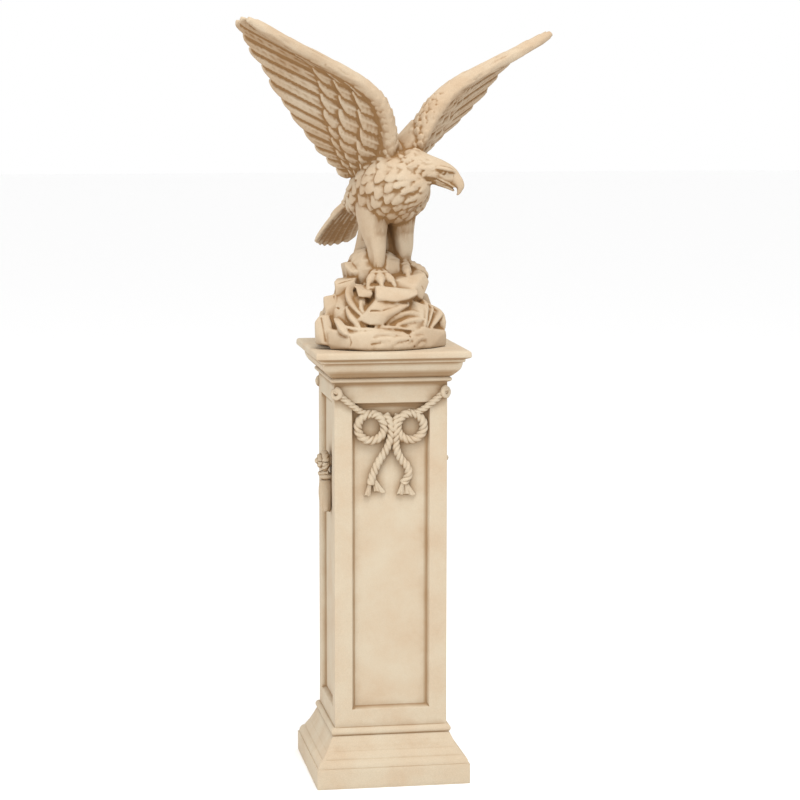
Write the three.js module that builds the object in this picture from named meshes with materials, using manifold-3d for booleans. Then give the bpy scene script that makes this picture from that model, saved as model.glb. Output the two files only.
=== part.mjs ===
// A garden eagle in cast stone, wings raised, on a square panelled column hung with rope bows
import * as THREE from "three";
import { ConvexGeometry } from "three/addons/geometries/ConvexGeometry.js";
import { mergeVertices } from "three/addons/utils/BufferGeometryUtils.js";
import Module from "manifold-3d";

// Column, in millimetres: the origin is the middle of its underside, its front faces -Y
const columnHeight = 1080;
const plinthWidth = 382;
const plinthHeight = 50;
const plateWidth = 382;
const plateThickness = 18;
const shaftWidth = 280;
const baseHeight = 142;
const capHeight = 80;
const beadOut = 10;
const edgeSoftness = 3;

// Sunk panel on each side of the shaft
const stileWidth = 43;
const topRail = 49;
const bottomRail = 44;
const panelDepth = 11;
const panelBevel = 6;

// Rope bow on the front and the back
const ropeThickness = 21;
const swagThickness = 15;
const loopRadius = 33;
const loopSpacing = 98;
const loopDrop = 61;
const bowTail = 150;
const pegDrop = 16;
const scrollRadius = 10;

// Tassel drop on the left and right sides
const dropLength = 142;
const dropFromTop = 191;
const knotRadius = 21;

// Eagle with its rock: its places are written for a figure as tall as drawnHeight, and scaled
const eagleHeight = 801;
const drawnHeight = 801;
const eagleTurn = 25.7;
const eagleStance = [24, -24, 0];
const restGap = 0.3;

const wasm = await Module();
wasm.setup();

const up = new THREE.Vector3(0, 0, 1);

// Closed solids and their joins

function toSolid(geometry) {
  const bare = geometry.clone();
  bare.deleteAttribute("normal");
  bare.deleteAttribute("uv");
  const merged = mergeVertices(bare, 1e-3);
  const mesh = new wasm.Mesh({
    numProp: 3,
    vertProperties: new Float32Array(merged.attributes.position.array),
    triVerts: new Uint32Array(merged.index.array),
  });
  return new wasm.Manifold(mesh);
}

function toGeometry(solid) {
  const mesh = solid.getMesh();
  const geometry = new THREE.BufferGeometry();
  geometry.setAttribute("position", new THREE.BufferAttribute(new Float32Array(mesh.vertProperties), 3));
  geometry.setIndex(new THREE.BufferAttribute(new Uint32Array(mesh.triVerts), 1));
  geometry.computeVertexNormals();
  return geometry;
}

function join(geometries) {
  let solids = geometries.map(toSolid);
  while (solids.length > 1) {
    const next = [];
    for (let i = 0; i < solids.length; i += 2) {
      next.push(i + 1 < solids.length ? solids[i].add(solids[i + 1]) : solids[i]);
    }
    solids = next;
  }
  return solids[0];
}

// Signed volume of the skin: below zero its faces point inwards
function volumeOf(points, faces) {
  let sum = 0;
  for (let i = 0; i < faces.length; i += 3) {
    const [a, b, c] = [points[faces[i]], points[faces[i + 1]], points[faces[i + 2]]];
    sum += a.dot(b.clone().cross(c)) / 6;
  }
  return sum;
}

// A closed skin over rings that have the same number of corners, turned so that it faces out
function loft(rings) {
  const corners = rings[0].length;
  const points = rings.flat();
  const faces = [];
  for (let i = 0; i + 1 < rings.length; i++) {
    for (let j = 0; j < corners; j++) {
      const a = i * corners + j;
      const b = i * corners + ((j + 1) % corners);
      faces.push(a, b, b + corners, a, b + corners, a + corners);
    }
  }
  const last = (rings.length - 1) * corners;
  for (let j = 1; j + 1 < corners; j++) {
    faces.push(0, j + 1, j, last, last + j, last + j + 1);
  }
  const geometry = new THREE.BufferGeometry().setFromPoints(points);
  geometry.setIndex(volumeOf(points, faces) < 0 ? faces.reverse() : faces);
  return geometry;
}

// Oval rings strung along a path: each stop is {at, wide, deep}, half sizes across and up
function ovalLoft(stops, sides, upward = up) {
  const rings = stops.map((stop, i) => {
    const before = stops[Math.max(i - 1, 0)].at;
    const after = stops[Math.min(i + 1, stops.length - 1)].at;
    const along = after.clone().sub(before).normalize();
    const across = new THREE.Vector3().crossVectors(along, stop.upward ?? upward).normalize();
    const over = new THREE.Vector3().crossVectors(across, along);
    return Array.from({ length: sides }, (_, j) => {
      const turn = (2 * Math.PI * j) / sides;
      return stop.at.clone()
        .addScaledVector(across, -stop.wide * Math.cos(turn))
        .addScaledVector(over, stop.deep * Math.sin(turn));
    });
  });
  return loft(rings);
}

function tube(points, radius, sides, steps) {
  const section = new THREE.Shape(Array.from({ length: sides }, (_, j) => {
    const turn = (2 * Math.PI * (j + 0.5)) / sides;
    return new THREE.Vector2(radius * Math.cos(turn), radius * Math.sin(turn));
  }));
  const path = new THREE.CatmullRomCurve3(points);
  return new THREE.ExtrudeGeometry(section, { steps, extrudePath: path });
}

const mix = THREE.MathUtils.lerp;

// Column

const shaftHalf = shaftWidth / 2;
const shaftTop = columnHeight - capHeight;
const panelTop = shaftTop - topRail;
const panelBottom = baseHeight + bottomRail;

function softSquare(half, z, softness) {
  const inner = half - softness;
  const quarter = [[inner, -half], [half, -inner]];
  return [0, 1, 2, 3].flatMap((k) => quarter.map(([x, y]) =>
    new THREE.Vector3(x, y, z).applyAxisAngle(up, (k * Math.PI) / 2)));
}

function columnProfile() {
  const plinthHalf = plinthWidth / 2;
  const plateHalf = plateWidth / 2;
  const baseRise = baseHeight - plinthHeight;
  const baseIn = plinthHalf - shaftHalf;
  const plateUnder = columnHeight - plateThickness;
  const capRise = plateUnder - shaftTop;
  const capOut = plateHalf - shaftHalf;
  const base = (share) => plinthHeight + share * baseRise;
  const cap = (share) => shaftTop + share * capRise;
  return [
    [plinthHalf - edgeSoftness, 0],
    [plinthHalf, edgeSoftness],
    [plinthHalf, plinthHeight - edgeSoftness],
    [plinthHalf - edgeSoftness, plinthHeight],
    [shaftHalf + 0.9 * baseIn, base(0.05)],
    [shaftHalf + 0.87 * baseIn, base(0.13)],
    [shaftHalf + 0.79 * baseIn, base(0.19)],
    [shaftHalf + 0.69 * baseIn, base(0.22)],
    [shaftHalf + 0.52 * baseIn, base(0.35)],
    [shaftHalf + 0.36 * baseIn, base(0.5)],
    [shaftHalf + 0.23 * baseIn, base(0.66)],
    [shaftHalf + 0.12 * baseIn, base(0.79)],
    [shaftHalf + beadOut - 2, base(0.81)],
    [shaftHalf + beadOut, base(0.86)],
    [shaftHalf + beadOut - 3, base(0.95)],
    [shaftHalf + 4, base(0.99)],
    [shaftHalf, baseHeight],
    [shaftHalf, shaftTop],
    [shaftHalf + beadOut - 3, cap(0.03)],
    [shaftHalf + beadOut, cap(0.12)],
    [shaftHalf + beadOut - 4, cap(0.22)],
    [shaftHalf + 0.13 * capOut, cap(0.24)],
    [shaftHalf + 0.33 * capOut, cap(0.36)],
    [shaftHalf + 0.5 * capOut, cap(0.48)],
    [shaftHalf + 0.59 * capOut, cap(0.62)],
    [shaftHalf + 0.63 * capOut, cap(0.82)],
    [shaftHalf + 0.74 * capOut, cap(0.84)],
    [shaftHalf + 0.76 * capOut, cap(0.96)],
    [plateHalf - 2 * edgeSoftness, cap(1)],
    [plateHalf, plateUnder + edgeSoftness],
    [plateHalf, columnHeight - 2 * edgeSoftness],
    [plateHalf - edgeSoftness, columnHeight - edgeSoftness / 2],
    [plateHalf - 3 * edgeSoftness, columnHeight],
  ];
}

function panelCutter() {
  const half = shaftHalf - stileWidth;
  const frame = (grow, y) => [
    new THREE.Vector3(-half - grow, y, panelBottom - grow),
    new THREE.Vector3(half + grow, y, panelBottom - grow),
    new THREE.Vector3(half + grow, y, panelTop + grow),
    new THREE.Vector3(-half - grow, y, panelTop + grow),
  ];
  return loft([
    frame(1, -shaftHalf - 1),
    frame(0, -shaftHalf),
    frame(-panelBevel / 2, -shaftHalf + 0.35 * panelDepth),
    frame(-panelBevel, -shaftHalf + panelDepth),
  ]);
}

function quarterTurns(geometry, turns) {
  return turns.map((k) => geometry.clone().rotateZ((k * Math.PI) / 2));
}

// Rope bow: two swags from the corners, two loops and two tails that end in tassels
function ropeBow() {
  const ground = -shaftHalf + panelDepth;
  const frontFace = -shaftHalf;
  const loopZ = panelTop - loopDrop;
  const loopTop = loopZ + loopRadius;
  const pegZ = shaftTop - pegDrop;
  const inPanel = ground - 0.3 * ropeThickness;
  const pieces = [];
  [-1, 1].forEach((side) => {
    const loopX = (side * loopSpacing) / 2;
    const ring = new THREE.TorusGeometry(loopRadius, ropeThickness / 2, 5, 10);
    ring.rotateX(Math.PI / 2).translate(loopX, inPanel, loopZ);
    pieces.push(ring);
    const onCorner = frontFace - 0.2 * swagThickness;
    pieces.push(tube([
      new THREE.Vector3(side * (shaftHalf - 2), onCorner, pegZ),
      new THREE.Vector3(side * (shaftHalf - 0.55 * stileWidth), onCorner, mix(pegZ, loopTop, 0.36)),
      new THREE.Vector3(side * (shaftHalf - 1.1 * stileWidth), onCorner, mix(pegZ, loopTop, 0.66)),
      new THREE.Vector3(side * (loopSpacing / 2 + 0.9 * loopRadius), mix(onCorner, inPanel, 0.7),
        mix(pegZ, loopTop, 0.86)),
      new THREE.Vector3(loopX, inPanel, loopTop),
    ], swagThickness / 2, 4, 5));
    const scroll = new THREE.TorusGeometry(scrollRadius, 0.45 * swagThickness, 4, 6);
    scroll.rotateX(Math.PI / 2).rotateZ((side * Math.PI) / 4);
    scroll.translate(side * (shaftHalf - 1), frontFace - 1, pegZ - 0.2 * scrollRadius);
    pieces.push(scroll);
  });
  const tail = (side, shares) => shares.map(([x, drop]) =>
    new THREE.Vector3(side * x * loopSpacing, inPanel + 1, loopZ + 0.6 * loopRadius - drop * bowTail));
  const leftTail = tail(-1, [[0.1, -0.04], [-0.03, 0.2], [-0.01, 0.42], [0.1, 0.6], [0.3, 0.8],
    [0.46, 1.0]]);
  const rightTail = tail(1, [[0.1, -0.02], [0.12, 0.2], [0.14, 0.45], [0.28, 0.62], [0.5, 0.76], [0.5, 0.9],
    [0.36, 1.0]]);
  pieces.push(tube(leftTail, 0.45 * ropeThickness, 5, 6));
  pieces.push(tube(rightTail, 0.45 * ropeThickness, 5, 6));
  pieces.push(tassel(leftTail.at(-1), -0.42), tassel(rightTail.at(-1), 0.12));
  return pieces;
}

// Flattened bell of loose rope ends, leaning sideways by its last drop
function tassel(top, lean) {
  const long = 1.6 * ropeThickness;
  const stops = [[0, 0.42, 0.42], [0.35, 0.48, 0.4], [0.75, 0.85, 0.42], [1, 1.15, 0.36]];
  return ovalLoft(stops.map(([down, wide, deep]) => ({
    at: new THREE.Vector3(top.x + lean * down * long, top.y, top.z + 4 - down * long),
    wide: wide * ropeThickness,
    deep: deep * ropeThickness,
    upward: new THREE.Vector3(0, -1, 0),
  })), 6);
}

// Knotted drop in the middle of a side: a button on a round knot, a ball and two tassels
function sideDrop() {
  const ground = -shaftHalf + panelDepth;
  const top = shaftTop - dropFromTop;
  const button = new THREE.SphereGeometry(0.5 * knotRadius, 6, 4);
  button.translate(0, ground - 1.02 * knotRadius, top - 0.7 * knotRadius);
  const knot = new THREE.SphereGeometry(knotRadius, 8, 5);
  knot.scale(1.25, 0.95, 0.85).translate(0, ground - 0.45 * knotRadius, top - 0.95 * knotRadius);
  const ball = new THREE.SphereGeometry(0.68 * knotRadius, 6, 4);
  ball.translate(0, ground - 0.6 * knotRadius, top - 0.4 * dropLength);
  const lobes = [-1, 1].map((side) => ovalLoft([[0.36, 0.24], [0.6, 0.36], [0.86, 0.6], [1, 0.66]]
    .map(([down, wide]) => ({
      at: new THREE.Vector3(side * (0.12 + 0.5 * down) * knotRadius, ground - 0.5 * knotRadius,
        top - down * dropLength * (1 - 0.05 * side)),
      wide: wide * knotRadius,
      deep: (0.3 + 0.4 * wide) * knotRadius,
      upward: new THREE.Vector3(0, -1, 0),
    })), 6));
  return [knot, button, ball, ...lobes];
}

function makeColumn() {
  const profile = columnProfile();
  const stack = profile.map(([half, z]) => softSquare(half, z, edgeSoftness));
  let body = toSolid(loft(stack));
  quarterTurns(panelCutter(), [0, 1, 2, 3]).forEach((cutter) => {
    body = body.subtract(toSolid(cutter));
  });
  const bow = join(ropeBow());
  const bows = quarterTurns(toGeometry(bow), [0, 2]);
  const drop = join(sideDrop());
  const drops = quarterTurns(toGeometry(drop), [1, 3]);
  [...bows, ...drops].forEach((piece) => {
    body = body.add(toSolid(piece));
  });
  return toGeometry(body);
}

// Eagle: x is the bird's left, -y is forward and z is up from the top of the column

const place = (left, forward, height) => new THREE.Vector3(left, -forward, height);

// Breast, neck and rump, one thick form that leans forward and turns its neck to the left
function makeTrunk() {
  const stops = [
    [0, -158, 340, 32, 22], [0, -122, 356, 58, 44], [0, -76, 370, 80, 68], [0, -20, 390, 92, 88],
    [0, 34, 414, 91, 94], [8, 74, 426, 79, 81], [28, 98, 430, 61, 62], [48, 111, 431, 46, 48],
    [60, 118, 430, 34, 36],
  ];
  return ovalLoft(stops.map(([left, forward, height, wide, deep]) =>
    ({ at: place(left, forward, height), wide, deep })), 12);
}

const headAt = place(58, 112, 429);
const headYaw = 42;
const headPitch = -22;
const beakUp = new THREE.Vector3(1, 0, 0.6);

function fromHead(geometry) {
  geometry.rotateY(THREE.MathUtils.degToRad(-headPitch));
  geometry.rotateZ(THREE.MathUtils.degToRad(headYaw - 90));
  return geometry.translate(headAt.x, headAt.y, headAt.z);
}

// Skull and hooked upper beak, then the lower beak, the brows and the eyes; x is forward here
function makeHead() {
  const skull = ovalLoft([
    [-70, 2, 50, 46], [-40, 3, 44, 43], [-14, 4, 36, 37], [4, 5, 30, 33], [20, 3, 25, 29],
    [32, -1, 18, 24], [42, -4, 13, 19], [51, -7, 10, 15], [58, -13, 7.5, 11], [61, -22, 4.5, 7],
    [58, -31, 1.5, 2.5],
  ].map(([x, z, wide, deep]) => ({ at: new THREE.Vector3(x, 0, z), wide, deep })), 10, beakUp);
  const jaw = ovalLoft([[14, -22, 16, 8], [30, -23, 12, 6], [44, -25, 8, 4.5], [51, -27, 4, 2.5]]
    .map(([x, z, wide, deep]) => ({ at: new THREE.Vector3(x, 0, z), wide, deep })), 6);
  const sides = [-1, 1].flatMap((side) => {
    const brow = ovalLoft([[2, 26, 14, 4, 3], [16, 25, 15, 6, 4.5], [31, 18, 9, 4, 3]]
      .map(([x, y, z, wide, deep]) => ({ at: new THREE.Vector3(x, side * y, z), wide, deep })), 6);
    const eye = new THREE.SphereGeometry(6.5, 6, 4);
    eye.translate(19, side * 22, 6);
    return [brow, eye];
  });
  return [skull, jaw, ...sides].map(fromHead);
}

// Wing: the leading edge from shoulder to tip, and the line of feather tips from body to wing tip
const leadingEdge = new THREE.CatmullRomCurve3([
  place(30, 8, 440), place(58, 48, 545), place(104, 62, 610), place(160, 60, 646),
  place(235, 57, 680), place(350, 57, 727), place(458, 58, 777),
]);
const featherTips = new THREE.CatmullRomCurve3([
  place(82, -92, 410), place(132, -92, 452), place(186, -82, 498), place(250, -63, 556),
  place(305, -50, 608), place(355, -38, 666), place(404, -26, 718), place(452, 8, 766),
  place(463, 44, 780),
]);
const rootShares = [0, 0.55];
const rootCrowding = 3;
const longFeathers = 12;
const shoulderHeight = 440;
const rightWingReach = 1.03;
const rightWingLift = 1.3;

// The wing's surface: across runs from the body to the leading edge, out from the arm to the tips.
// The roots crowd towards the shoulder, so the feathers sweep out from the body
function wingPoint(across, out) {
  const root = leadingEdge.getPoint(mix(...rootShares, Math.max(across, 0) ** rootCrowding));
  const point = root.lerp(featherTips.getPoint(across), out);
  const hollow = 4 * out * (1 - out);
  return point.addScaledVector(new THREE.Vector3(0, 1, 0), 10 * hollow);
}

function surfaceNormal(surface, across, out) {
  const step = 0.02;
  const a = Math.min(across, 1 - step);
  const along = surface(a, out + step).sub(surface(a, out));
  const over = surface(a + step, out + step / 2).sub(surface(a, out + step / 2));
  return along.cross(over).normalize();
}

// A row of overlapping feathers as one strip: each feather runs from a raised edge to a sunk one,
// with a rounded tip. profile gives the section as [share of length, height] for a middle line
function shingle({ surface, count, first = 0, last = 1, from, to, notch, step, profile }) {
  const stations = [[0.04, 1, 1], [0.5, 0, 0], [0.96, 0.8, -1]];
  const rings = [];
  for (let k = 0; k < count; k++) {
    stations.forEach(([share, cut, height]) => {
      const across = mix(first, last, (k + share) / count);
      const reach = to(across) - notch * cut;
      rings.push(profile.map(([t, rise, follow]) => {
        const out = mix(from(across), reach, t);
        const normal = surfaceNormal(surface, across, out);
        return surface(across, out).addScaledVector(normal, rise + follow * step * height);
      }));
    });
  }
  return loft(rings);
}

function wingArm() {
  const stops = [
    [0, 32, 42], [0.14, 28, 36], [0.3, 24, 30], [0.45, 20, 24], [0.62, 16, 19], [0.8, 12, 14],
    [0.93, 8, 10], [1, 4, 5],
  ];
  const shoulder = new THREE.Vector3(0, 1, 0.35);
  return ovalLoft(stops.map(([along, wide, deep]) => ({ at: leadingEdge.getPoint(along), wide, deep,
    upward: shoulder })), 8);
}

// Long feathers make the web of the wing; two rows of shorter ones cover its under face, one its upper
function makeWing() {
  const greater = (across) => mix(0.66, 0.4, across);
  const median = (across) => mix(0.56, 0.23, across);
  const long = shingle({
    surface: wingPoint, count: longFeathers, from: () => 0.02, to: () => 1, notch: 0.09, step: 4,
    profile: [[0, 7, 0], [0.93, 4, 1], [1, -2, 1], [0, -7, 0]],
  });
  const cover = (face, base, top) => [[0, face * (base - 6), 0], [0.08, face * (base + 6), 0],
    [0.92, face * top, 1], [0.97, face * (base - 6), 0]];
  const row = (count, first, last, from, to, profile) =>
    shingle({ surface: wingPoint, count, first, last, from, to, notch: 0.06, step: 2.5, profile });
  const rows = [
    row(8, 0.02, 0.96, (across) => median(across) - 0.08, greater, cover(1, 2, 11)),
    row(6, 0.03, 0.92, () => 0.06, median, cover(1, 5, 17)),
    row(8, 0.02, 0.96, () => 0.06, greater, cover(-1, 3, 13)),
  ];
  return join([long, wingArm(), ...rows]);
}

// Tail: a fan of long feathers from the rump, down and back
function tailPoint(across, out) {
  const share = 2 * across - 1;
  const root = place(28 * share, -104, 380 - 6 * Math.abs(share));
  const tip = place(60 * share, -296 + 34 * share * share, 234 + 14 * share * share);
  const arch = 14 * 4 * out * (1 - out);
  return root.lerp(tip, out).addScaledVector(new THREE.Vector3(0, 0.5, 0.85), arch);
}

function makeTail() {
  return shingle({
    surface: tailPoint, count: 6, from: () => 0, to: () => 1, notch: 0.05, step: 3,
    profile: [[0, 9, 0], [0.93, 5, 1], [1, -3, 1], [0, -9, 0]],
  });
}

// Leg with its feathered thigh, four toes and their talons
function makeLeg(left, footForward, footHeight, ankle) {
  const thigh = ovalLoft([
    [left, -22, 362, 40, 52], [left, -20, 318, 38, 46], [left, -14, 280, mix(ankle, 38, 0.6), 36],
    [left, -6, 246, mix(ankle, 38, 0.25), 27], [left, footForward, footHeight + 26, ankle, 20],
    [left, footForward + 4, footHeight, 0.8 * ankle, 15],
  ].map(([x, forward, height, wide, deep]) => ({ at: place(x, forward, height), wide, deep,
    upward: new THREE.Vector3(0, -1, 0) })), 8);
  const toes = [-52, 0, 50, 180].map((turn) => {
    const yaw = THREE.MathUtils.degToRad(turn - 0.16 * left);
    const reach = turn === 180 ? 0.75 : 1;
    const stops = [[2, 6, 12, 12], [24, 5, 11, 11], [40, 1, 10, 9.5], [49, -4, 6, 6], [55, -18, 1.5, 1.5]];
    return ovalLoft(stops.map(([out, rise, wide, deep]) => {
      const sideways = Math.sin(yaw) * out * reach;
      const ahead = Math.cos(yaw) * out * reach;
      return { at: place(left + sideways, footForward + 4 + ahead, footHeight - 8 + rise), wide, deep };
    }), 5);
  });
  return [thigh, ...toes];
}

// Rock: a low base, a mound and the broken stones on it, square to the column and not to the bird
function stone(corners) {
  return new ConvexGeometry(corners.map((corner) => new THREE.Vector3(...corner)));
}

// A rough boulder: three rings of five corners, each shifted by its own seed
function boulder({ at: [x, y, z], wide, deep, tall, turn = 0, seed }) {
  let draw = seed;
  const jitter = (reach) => {
    draw = (draw * 16807) % 2147483647;
    return 1 + reach * (draw / 2147483647 - 0.5);
  };
  const corners = [[0, 0.92], [0.55, 1], [1, 0.66]].flatMap(([level, share]) =>
    Array.from({ length: 5 }, (_, k) => {
      const angle = (k / 5) * 2 * Math.PI + THREE.MathUtils.degToRad(turn);
      const radius = share * jitter(0.3);
      return [
        x + wide * radius * Math.cos(angle),
        y + deep * radius * Math.sin(angle),
        z + level * tall * jitter(level === 1 ? 0.16 : 0),
      ];
    }));
  return stone(corners);
}

const rockRadius = 152;

function rockBase() {
  const sides = 16;
  const ring = (share, z, x, y) => Array.from({ length: sides }, (_, k) => {
    const turn = (2 * Math.PI * k) / sides;
    const front = 18 * Math.max(0, -Math.sin(turn + 0.12)) ** 3;
    const radius = share * (rockRadius + front + 5 * Math.sin(3 * turn + 1) + 4 * Math.sin(5 * turn));
    return new THREE.Vector3(x + radius * Math.cos(turn), y + radius * Math.sin(turn), z);
  });
  return loft([ring(0.97, 0, 0, 0), ring(1, 9, 0, 0), ring(0.97, 32, 0, 0), ring(0.84, 40, 0, 0),
    ring(0.68, 84, 0, 10), ring(0.5, 130, -6, 8), ring(0.38, 165, -6, 8)]);
}

// Pleats of rock that fan down to the right of the wedge
function rockPleats() {
  const apex = [58, -96, 124];
  const feet = [[22, -150, 44], [64, -142, 42], [104, -118, 42], [140, -72, 42], [146, -20, 40]];
  return feet.slice(1).map((foot, k) => {
    const other = feet[k];
    const ridge = [mix(foot[0], other[0], 0.42) * 1.05, mix(foot[1], other[1], 0.42) * 1.05, 58];
    return stone([apex, [apex[0] + 8 + 9 * k, apex[1] + 16 * k, apex[2] - 4 * k], foot, other, ridge,
      [foot[0] * 0.7, foot[1] * 0.5, 20], [other[0] * 0.7, other[1] * 0.5, 20], [30, -40, 110]]);
  });
}

function makeRock() {
  const wedgeBrow = stone([
    [-34, -118, 156], [-34, -134, 131], [74, -104, 141], [71, -114, 133], [52, -122, 110], [-53, -138, 101],
    [46, -122, 113], [-30, -60, 150], [60, -50, 145], [-40, -80, 100], [50, -80, 100],
  ]);
  const wedge = stone([
    [-82, -130, 74], [-54, -144, 61], [-21, -144, 62], [50, -118, 106], [-54, -143, 100], [44, -128, 112],
    [-10, -148, 88], [-60, -70, 70], [20, -70, 60], [50, -70, 100], [-30, -60, 150], [60, -50, 145],
  ]);
  const ledge = stone([
    [-52, -104, 150], [60, -104, 142], [98, -62, 182], [110, -58, 160], [90, -76, 122],
    [78, -14, 192], [54, 4, 196],
    [10, -50, 170], [-56, -20, 160], [50, 44, 178], [-44, 50, 166], [-66, -84, 104], [62, 56, 90],
    [-70, 56, 90],
  ]);
  const crescent = stone([
    [-92, -98, 164], [-110, -90, 138], [-98, -104, 108], [-62, -126, 84], [-76, -122, 108], [-86, -114, 142],
    [-80, -56, 156], [-86, -56, 100],
  ]);
  const shelf = stone([
    [-82, -112, 150], [-40, -119, 138], [-78, -117, 128], [-44, -114, 124], [-80, -66, 160], [-40, -70, 154],
  ]);
  const lowerStep = stone([
    [-122, -8, 158], [-118, -10, 128], [-94, 0, 200], [-60, -46, 176], [-70, -50, 120], [-110, 50, 150],
    [-60, 70, 190], [-104, 56, 110], [-50, 60, 110],
  ]);
  const pinnacle = ovalLoft([
    [-6, 6, 130, 84, 70], [-12, 8, 190, 76, 62], [-8, 22, 206, 66, 50], [-2, 32, 262, 56, 40],
    [0, 40, 330, 50, 34],
  ].map(([x, y, z, wide, deep]) => ({ at: new THREE.Vector3(x, y, z), wide, deep,
    upward: new THREE.Vector3(0, -1, 0) })), 7);
  return [
    rockBase(), wedgeBrow, wedge, ledge, crescent, shelf, lowerStep, pinnacle, ...rockPleats(),
    boulder({ at: [-152, -70, 0], wide: 28, deep: 32, tall: 74, turn: 20, seed: 37 }),
    boulder({ at: [-132, -38, 40], wide: 25, deep: 30, tall: 66, turn: 50, seed: 41 }),
    boulder({ at: [-112, 34, 24], wide: 34, deep: 44, tall: 88, turn: 10, seed: 53 }),
    boulder({ at: [96, 30, 26], wide: 46, deep: 44, tall: 96, turn: 30, seed: 59 }),
    boulder({ at: [20, 98, 24], wide: 66, deep: 44, tall: 92, turn: 15, seed: 71 }),
    boulder({ at: [-58, 100, 24], wide: 46, deep: 36, tall: 66, turn: 40, seed: 73 }),
  ];
}

// Turns the bird from its own heading to its stance on the rock
function onRock(geometry) {
  return geometry.rotateZ(THREE.MathUtils.degToRad(eagleTurn)).translate(...eagleStance);
}

function makeEagle() {
  const leftWing = toGeometry(makeWing());
  const rightWing = leftWing.clone().translate(0, 0, -shoulderHeight);
  rightWing.scale(-rightWingReach, 1, rightWingReach);
  rightWing.setIndex(Array.from(rightWing.index.array).reverse());
  rightWing.rotateY(THREE.MathUtils.degToRad(rightWingLift)).translate(0, 0, shoulderHeight);
  const bird = [
    makeTrunk(), ...makeHead(), makeTail(), ...makeLeg(35, -6, 192, 21), ...makeLeg(-46, -2, 174, 18),
    leftWing, rightWing,
  ].map(onRock);
  const geometry = toGeometry(join([...bird, ...makeRock()]));
  const scale = eagleHeight / drawnHeight;
  return geometry.scale(scale, scale, scale);
}

const castStone = { color: 0xdcc6a4, roughness: 0.85, metalness: 0 };

const statue = new THREE.Group();

const column = new THREE.Mesh(makeColumn(), new THREE.MeshStandardMaterial(castStone));
column.name = "column";
statue.add(column);

const eagle = new THREE.Mesh(makeEagle(), new THREE.MeshStandardMaterial(castStone));
eagle.name = "eagle";
eagle.position.set(0, 0, columnHeight + restGap);
statue.add(eagle);

export default statue;
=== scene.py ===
# Cast-stone eagle with raised wings on a square panelled column, in soft light on a pale floor
import math
import bmesh
import bpy
import numpy as np
from mathutils import Matrix, Vector
from mathutils.bvhtree import BVHTree


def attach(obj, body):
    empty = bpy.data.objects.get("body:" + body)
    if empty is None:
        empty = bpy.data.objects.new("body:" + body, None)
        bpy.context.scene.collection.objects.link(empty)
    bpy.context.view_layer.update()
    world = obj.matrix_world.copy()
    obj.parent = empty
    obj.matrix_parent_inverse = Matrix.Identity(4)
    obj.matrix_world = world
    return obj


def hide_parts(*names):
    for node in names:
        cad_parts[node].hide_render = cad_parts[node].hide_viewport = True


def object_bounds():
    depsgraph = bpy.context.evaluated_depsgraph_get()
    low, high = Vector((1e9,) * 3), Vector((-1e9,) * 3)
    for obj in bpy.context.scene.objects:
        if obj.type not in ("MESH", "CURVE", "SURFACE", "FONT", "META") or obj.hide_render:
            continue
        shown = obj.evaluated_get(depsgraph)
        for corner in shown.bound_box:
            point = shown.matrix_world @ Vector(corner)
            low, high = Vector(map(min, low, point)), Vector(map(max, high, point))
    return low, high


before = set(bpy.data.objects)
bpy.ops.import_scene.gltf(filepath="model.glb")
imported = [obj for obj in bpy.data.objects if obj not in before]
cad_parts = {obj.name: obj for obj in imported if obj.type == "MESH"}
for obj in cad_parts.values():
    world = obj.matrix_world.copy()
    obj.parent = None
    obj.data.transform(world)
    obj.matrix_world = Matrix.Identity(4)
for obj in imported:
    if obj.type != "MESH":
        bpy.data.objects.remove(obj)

cadBox = [list(corner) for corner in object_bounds()]
mm = 0.001

# Camera and light

cameraSettings = {
    "place": (-0.958, -5.869, 1.704), "turn": -9.274, "tilt": 6.675,
    "lens": 107.77, "sensor": 36, "shift": (0.02255, -0.0340), "clip": (0.1, 60),
}


def makeCamera(s):
    data = bpy.data.cameras.new("camera")
    data.lens = s["lens"]
    data.sensor_width = s["sensor"]
    data.shift_x, data.shift_y = s["shift"]
    data.clip_start, data.clip_end = s["clip"]
    cam = bpy.data.objects.new("camera", data)
    cam.location = s["place"]
    turn, tilt = math.radians(s["turn"]), math.radians(s["tilt"])
    level = math.cos(tilt)
    ahead = Vector((-math.sin(turn) * level, math.cos(turn) * level, -math.sin(tilt)))
    cam.rotation_euler = ahead.to_track_quat("-Z", "Y").to_euler()
    bpy.context.collection.objects.link(cam)
    bpy.context.scene.camera = cam


lightSettings = {
    "key": {"place": (0.3, -2.3, 6.0), "size": 2.2, "power": 210, "colour": (1.0, 0.985, 0.96)},
    "fill": {"place": (-3.6, -4.2, 2.0), "size": 3.6, "power": 80, "colour": (1.0, 0.99, 0.98)},
    "aim": (0, 0, 1.2), "sky": (1.0, 1.0, 1.0), "skyPower": 1.0,
}


def makeLights(s):
    for name in ("key", "fill"):
        lamp = s[name]
        data = bpy.data.lights.new(name, "AREA")
        data.energy, data.size, data.color = lamp["power"], lamp["size"], lamp["colour"]
        light = bpy.data.objects.new(name, data)
        light.location = lamp["place"]
        light.rotation_euler = (Vector(s["aim"]) - light.location).to_track_quat("-Z", "Y").to_euler()
        bpy.context.collection.objects.link(light)
    world = bpy.data.worlds.new("paleSky")
    world.use_nodes = True
    background = world.node_tree.nodes["Background"]
    background.inputs["Color"].default_value = (*s["sky"], 1)
    background.inputs["Strength"].default_value = s["skyPower"]
    bpy.context.scene.world = world
    bpy.context.scene.view_settings.view_transform = "Standard"


makeCamera(cameraSettings)
makeLights(lightSettings)
print("camera and lights made")

# Small tools


def deselectAll():
    if bpy.context.object and bpy.context.object.mode != "OBJECT":
        bpy.ops.object.mode_set(mode="OBJECT")
    bpy.ops.object.select_all(action="DESELECT")


def makeActive(obj):
    deselectAll()
    obj.select_set(True)
    bpy.context.view_layer.objects.active = obj


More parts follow.
